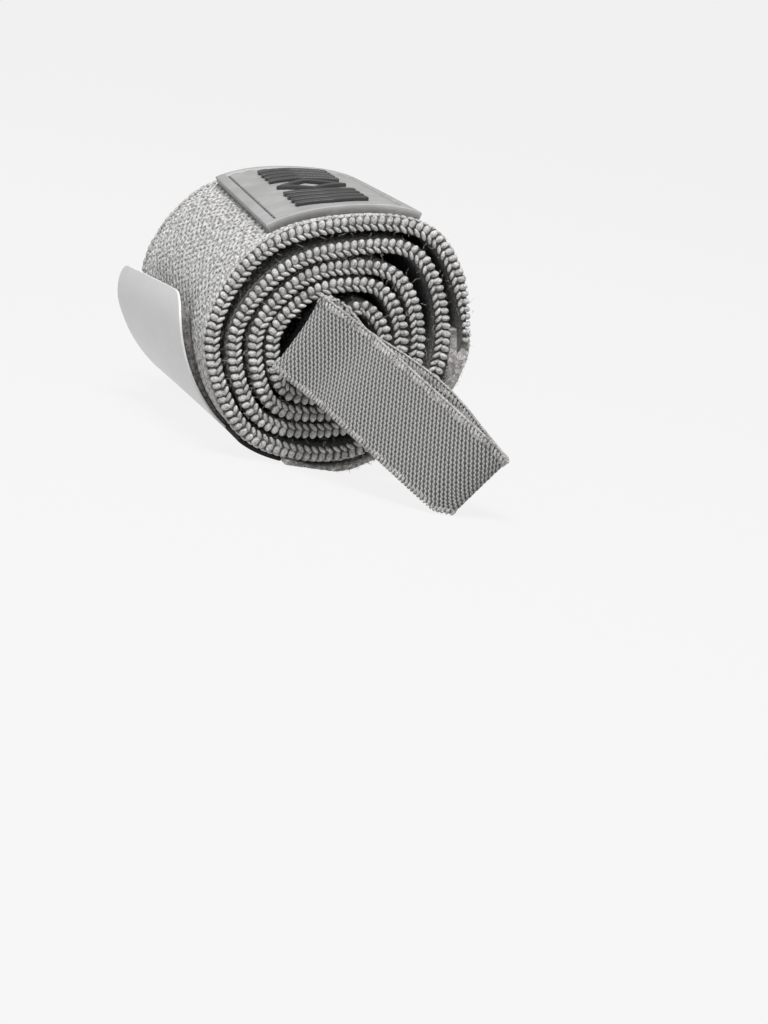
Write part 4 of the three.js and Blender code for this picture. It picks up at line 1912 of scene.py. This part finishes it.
@dataclass
class ThumbLoop:
    """The ribbon loop: its ribs, and the short stitches along its two edges."""

    SEAMS: ClassVar[tuple[Seam, ...]] = (
        Seam(side=1, inset=0.75 * MM, over=0.85, ahead=0.45, long=1.0 * MM, wide=0.31 * MM, deep=0.26 * MM),
        Seam(side=1, inset=0.08 * MM, over=0.1, ahead=1.0, long=0.62 * MM, wide=0.3 * MM, deep=0.42 * MM),
        Seam(side=-1, inset=0.3 * MM, over=1.0, ahead=0.15, long=0.62 * MM, wide=0.3 * MM, deep=0.3 * MM),
    )

    roll: Roll
    finishes: Finishes
    ribbon_width: float = 16.2 * MM
    thickness: float = 1.1 * MM
    loop_length: float = 43 * MM
    opening: float = 7.6 * MM
    lean: float = 42
    sway: float = 6 * MM
    tilt: float = 7
    shift: float = 2.3 * MM
    tail_depth: float = 10 * MM
    tail_centre: float = -2.1 * MM
    root_out: float = 3.4 * MM
    root_aside: float = 1 * MM
    mouth_depth: float = 0.5 * MM
    mouth_out: float = 1.2 * MM
    ply_gap: float = 0.3 * MM
    floor_ease: float = 0.4 * MM
    tip_round: float = 0.09
    tip_length: float = 1.3 * MM
    fold: tuple[Fold, ...] = (Fold(0.045, 0.02, 0.01), Fold(0.08, 0.055, 0.018), Fold(0.125, 0.035, 0.022))
    bow: tuple[Row, ...] = (
        Row(0.07, 0.22), Row(0.17, 0.36), Row(0.34, 0.48), Row(0.55, 0.5), Row(0.78, 0.44), Row(0.92, 0.31))
    row_pitch: float = 0.22 * MM
    column_pitch: float = 0.22 * MM
    relief: float = 0.17 * MM
    edge_round: float = 0.45 * MM
    selvedge_pitch: float = 0.8 * MM
    stitch_sunk: float = 0.06 * MM
    stitch_shake: float = 0.06
    seed: int = 47
    tip_at: float = 0.5

    def _axes(self) -> dict[str, np.ndarray]:
        """Works out the loop's directions.

        Returns:
            Unit vectors along the core, over it, out of the roll, along the loop and across it, across
            its tilted layers, and toward its upper layer.
        """
        plane = self.roll.along_core()
        core = np.array([plane[0], 0, plane[1]])
        over = np.array([plane[1], 0, -plane[0]])
        out = np.array([0.0, -1.0, 0.0])
        lean, tilt = math.radians(self.lean), math.radians(self.tilt)
        lengthwise = unit(over * math.cos(lean) + out * math.sin(lean) - core * self.sway / self.loop_length)
        across = unit(core - lengthwise * float(core @ lengthwise))
        facing = unit(np.cross(across, lengthwise))
        crosswise = across * math.cos(tilt) + facing * math.sin(tilt)
        return {"core": core, "over": over, "out": out, "lengthwise": lengthwise, "across": across,
                "crosswise": crosswise, "toward": np.cross(lengthwise, crosswise)}

    def _route(self) -> SmoothCurve:
        """Lays out the ribbon's centre line, from one tail round the loop to the other.

        Returns:
            The line.
        """
        axes = self._axes()
        layer = self.thickness + self.ply_gap
        first = (self.roll.core_beside * self.roll.core_radius + self.roll.band_thickness / 2
                 + self.ply_gap + self.thickness / 2)
        face = np.array([0, -self.roll.band_width / 2, 0])

        def tail(side: int, depth: float) -> np.ndarray:
            """A point of the first tail, or of the second for side 1, at a depth in the core."""
            return (face - axes["over"] * (first + side * layer) + axes["core"] * self.tail_centre
                    - axes["out"] * depth)

        root = (face + axes["over"] * (layer / 2 - first) + axes["out"] * self.root_out
                + axes["core"] * (self.tail_centre - self.root_aside))

        def body(side: int, row: Row) -> np.ndarray:
            """Finds a point of the loop's body.

            Args:
                side: 1 for its upper layer, -1 for its rear one.
                row: A row of its bow.

            Returns:
                The point.
            """
            bow = side * row.near * (self.opening + self.thickness)
            aside = self.shift * math.sin(math.pi * row.at)**2 if side < 0 else 0.0
            return (root + axes["lengthwise"] * row.at * self.loop_length + axes["toward"] * bow
                    + axes["across"] * aside)

        points = [tail(1, self.tail_depth), tail(1, self.tail_depth / 2), tail(1, self.mouth_depth)]
        points += [tail(1, -row.out * self.loop_length)
                   - (axes["over"] * row.back + axes["core"] * row.aside) * self.loop_length
                   for row in self.fold]
        points += [body(1, row) for row in self.bow[1:]]
        points.append(root + axes["lengthwise"] * self.loop_length)
        points += [body(-1, row) for row in reversed(self.bow)]
        points += [tail(0, -self.mouth_out), tail(0, self.mouth_depth), tail(0, self.tail_depth / 2),
                   tail(0, self.tail_depth)]
        return SmoothCurve(np.array(points), centripetal=True)

    def _frames(self, curve: SmoothCurve, lengths: np.ndarray) -> tuple[np.ndarray, np.ndarray, np.ndarray]:
        """Finds how the ribbon lies along its route.

        Args:
            curve: The route.
            lengths: Lengths along it.

        Returns:
            The ribbon's middle, and its width and thickness directions, the width a little less than 1
            at the tip.
        """
        axes = self._axes()
        points, tangents = curve.at(curve.parameter_at_length(lengths))
        tangents = tangents / np.linalg.norm(tangents, axis=1, keepdims=True)
        out = np.clip((-self.roll.band_width / 2 - points[:, 1]) / (self.loop_length / 4), 0, 1)
        wide = axes["core"] + np.outer(out, axes["crosswise"] - axes["core"])
        wide = wide - tangents * np.sum(wide * tangents, axis=1, keepdims=True)
        wide /= np.linalg.norm(wide, axis=1, keepdims=True)
        thick = np.cross(wide, tangents)
        tip = (lengths - float(curve.lengths[-1]) * self.tip_at) / self.tip_length
        return points, wide * (1 - self.tip_round * np.exp(-tip**2))[:, None], thick

    def _laid(self, middle: np.ndarray, wide: np.ndarray, thick: np.ndarray, across: np.ndarray,
              level: np.ndarray) -> np.ndarray:
        """Points of the ribbon where it lies, its tip lifted as it rests on the floor.

        Args:
            middle: Its middle line.
            wide: Its width direction there.
            thick: Its thickness direction there.
            across: Distances across it.
            level: Distances through it.

        Returns:
            One point for each place.
        """
        low = middle - wide * self.ribbon_width / 2
        depth = -(self.roll.unclamped_height(low) - self.thickness / 2)
        lift = 0.5 * (depth + np.sqrt(depth**2 + self.floor_ease**2)) * np.clip(
            0.5 - across / self.ribbon_width, 0, 1)
        points = middle + wide * across[:, None] + thick * level[:, None]
        points = points + self.roll.upward() * lift[:, None]
        return self.roll.lay_down(points)

    def _rib_height(self, along: np.ndarray, across: np.ndarray) -> np.ndarray:
        """The raised ribs' height.

        Args:
            along: Lengths along the ribbon.
            across: Places across it.

        Returns:
            Heights from 0 in the grooves to 1 on the beads.
        """
        twill = TwillFinish()
        turn = math.radians(twill.slant)
        beside = (-along * math.sin(turn) + across * math.cos(turn)) / twill.rib
        lengthwise = (along * math.cos(turn) + across * math.sin(turn)) / twill.bead
        bead = np.cos((lengthwise + np.floor(beside) * 0.5) * 2 * np.pi) * 0.5 + 0.5
        return np.abs(np.cos(beside * np.pi))**0.7 * (0.6 + 0.4 * bead)

    def build(self) -> bpy.types.Object:
        """Makes the ribbon and its two selvedges.

        Returns:
            The ribbon's object.
        """
        curve = self._route()
        total = float(curve.lengths[-1])
        nearest = np.argmax(curve.points @ self._axes()["lengthwise"])
        self.tip_at = float(curve.lengths[nearest]) / total
        rows = np.linspace(0, total, round(total / self.row_pitch) + 1)
        middle, wide, thick = self._frames(curve, rows)
        section = StripSection(
            half=self.ribbon_width / 2, thickness=self.thickness, edge=self.edge_round,
            outer_pitch=self.column_pitch, inner_pitch=self.column_pitch, edge_steps=4)

        def place(row: np.ndarray, across: np.ndarray, outward: np.ndarray,
                  outline: np.ndarray) -> np.ndarray:
            """Places the ribbon's points.

            Args:
                row: Numbers of the rows.
                across: Places across the ribbon.
                outward: Distances from its inner face.
                outline: Lengths round its section, which its ribs follow.

            Returns:
                One point for each.
            """
            level = outward - self.thickness / 2
            sunk = self.relief * (1 - self._rib_height(rows[row], outline))
            level = level - np.sign(level) * sunk
            return self._laid(middle[row], wide[row], thick[row], across, level)

        bm = strip_body(rows, section.points(), place)
        ribbon = finished("thumb_ribbon", bm, self.finishes.ribbon, Slot.RIBBON)
        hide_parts("thumb_loop")
        self._selvedge(curve)
        return ribbon

    def _selvedge(self, curve: SmoothCurve) -> bpy.types.Object:
        """Makes the short slanted stitches along both edges.

        Args:
            curve: The ribbon's route.

        Returns:
            The piece's object.
        """
        rng = random.Random(self.seed)
        stitches = Repeats()
        total = float(curve.lengths[-1])
        lengths = np.arange(self.tail_depth, total - self.tail_depth, self.selvedge_pitch)
        middle, wide, thick = self._frames(curve, lengths)
        along = np.cross(thick, wide)
        for point, w, t, a in zip(middle, wide, thick, along):
            for face in (-1, 1):
                for seam in self.SEAMS:
                    edge = seam.side * (self.ribbon_width / 2 - seam.inset)
                    level = face * (self.thickness / 2 - self.stitch_sunk)
                    steps = ((edge, level), (edge + MM, level), (edge, level + MM))
                    spots = [self._laid(point[None], w[None], t[None], np.array([x]), np.array([y]))[0]
                             for x, y in steps]
                    across, high = (unit(spot - spots[0]) for spot in spots[1:])
                    long = np.cross(high, across) * (1 if np.cross(t, w) @ a > 0 else -1)
                    ahead = seam.ahead + rng.uniform(-self.stitch_shake, self.stitch_shake)
                    slant = unit(across * seam.over + long * ahead * face)
                    beside = np.cross(slant, high)
                    axes = (beside * seam.wide, high * seam.deep, slant * seam.long)
                    lobe(stitches.room(), spots[0], axes, sides=6, rings=5)
        return finished("selvedge_stitches", stitches.joined(), self.finishes.selvedge, Slot.RIBBON)


@dataclass(frozen=True)
class Lamp:
    """One soft square light: where it hangs, its side and its power in watts."""

    name: str
    place: tuple[float, float, float]
    size: float
    power: float


@dataclass
class Studio:
    """The pale floor, the soft light and the camera at the photograph's viewpoint."""

    roll: Roll
    view_turn: float = 11.9
    view_drop: float = 11.35
    end_right: float = -8.57 * MM
    end_up: float = 32.4 * MM
    distance: float = 753 * MM
    focal_length: float = 142.2
    frame_height: float = 36.0
    floor_size: float = 40.0
    floor_drop: float = 0.02 * MM
    floor_tone: float = 0.035
    floor_glow: float = 0.86
    sky: float = 0.38
    aim: tuple[float, float, float] = (0, 0, 0.025)
    lamps: tuple[Lamp, ...] = (
        Lamp("top_light", (-0.18, -0.42, 0.95), size=0.55, power=16.0),
        Lamp("front_light", (0.1, -1.2, 0.3), size=0.6, power=1.0),
    )

    def camera(self) -> None:
        """Places the camera where the photograph was taken from."""
        turn, drop = math.radians(self.view_turn), math.radians(self.view_drop)
        forward = Vector((math.sin(turn) * math.cos(drop), math.cos(turn) * math.cos(drop), -math.sin(drop)))
        right = Vector((math.cos(turn), -math.sin(turn), 0))
        up = right.cross(forward)
        near_end = Vector((0, -self.roll.band_width / 2, 0))
        place = near_end - right * self.end_right - up * self.end_up - forward * self.distance
        pose = Matrix((right, up, -forward)).transposed().to_4x4()
        pose.translation = place
        laid = Matrix.Rotation(math.radians(-self.roll.rest_turn), 4, "Y")
        laid.translation = Vector((0, 0, self.roll.rest_depth))
        data = bpy.data.cameras.new("photo_camera")
        data.lens = self.focal_length
        data.sensor_fit = "VERTICAL"
        data.sensor_height = self.frame_height
        data.clip_start = 0.01
        data.clip_end = 100
        camera = bpy.data.objects.new("photo_camera", data)
        camera.matrix_world = laid @ pose
        bpy.context.scene.collection.objects.link(camera)
        bpy.context.scene.camera = camera

    def floor(self) -> None:
        """Lays the floor, which glows a little so that only faint shadows show on it."""
        bm = bmesh.new()
        bmesh.ops.create_grid(bm, x_segments=1, y_segments=1, size=self.floor_size)
        mesh = bpy.data.meshes.new("floor")
        bm.to_mesh(mesh)
        bm.free()
        floor = bpy.data.objects.new("floor", mesh)
        floor.location.z = -self.floor_drop
        shader = Shader("studio_floor")
        shader.feed(Base_Color=(*grey(self.floor_tone), 1), Roughness=1.0, Specular_IOR_Level=0.0,
                    Emission_Color=(*grey(self.floor_glow), 1), Emission_Strength=1.0)
        mesh.materials.append(shader.material)
        bpy.context.scene.collection.objects.link(floor)

    def hang(self, lamp: Lamp) -> None:
        """Hangs one soft light that faces the wrap.

        Args:
            lamp: The light.
        """
        data = bpy.data.lights.new(lamp.name, "AREA")
        data.size = lamp.size
        data.energy = lamp.power
        light = bpy.data.objects.new(lamp.name, data)
        light.location = lamp.place
        light.rotation_euler = (Vector(self.aim) - Vector(lamp.place)).to_track_quat("-Z", "Y").to_euler()
        bpy.context.scene.collection.objects.link(light)

    def build(self) -> None:
        """Sets up the floor, the lights, the sky and the camera."""
        self.floor()
        for lamp in self.lamps:
            self.hang(lamp)
        world = bpy.data.worlds.new("sky")
        world.use_nodes = True
        background = world.node_tree.nodes["Background"]
        background.inputs["Color"].default_value = (1, 1, 1, 1)
        background.inputs["Strength"].default_value = self.sky
        bpy.context.scene.world = world
        bpy.context.scene.view_settings.view_transform = "Standard"
        self.camera()


def main() -> None:
    """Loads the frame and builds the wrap."""
    logging.basicConfig(level=logging.INFO, format="%(name)s %(message)s")
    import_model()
    roll = Roll()
    finishes = Finishes()
    KnitBand(roll, finishes).build()
    EndPanel(roll, finishes).build()
    tab = HookTab(roll, finishes)
    tab.build(WovenLabel(roll, finishes, tab).build())
    RubberPatch(roll, finishes).build()
    ThumbLoop(roll, finishes).build()
    Studio(roll).build()


if __name__ == "__main__":
    main()
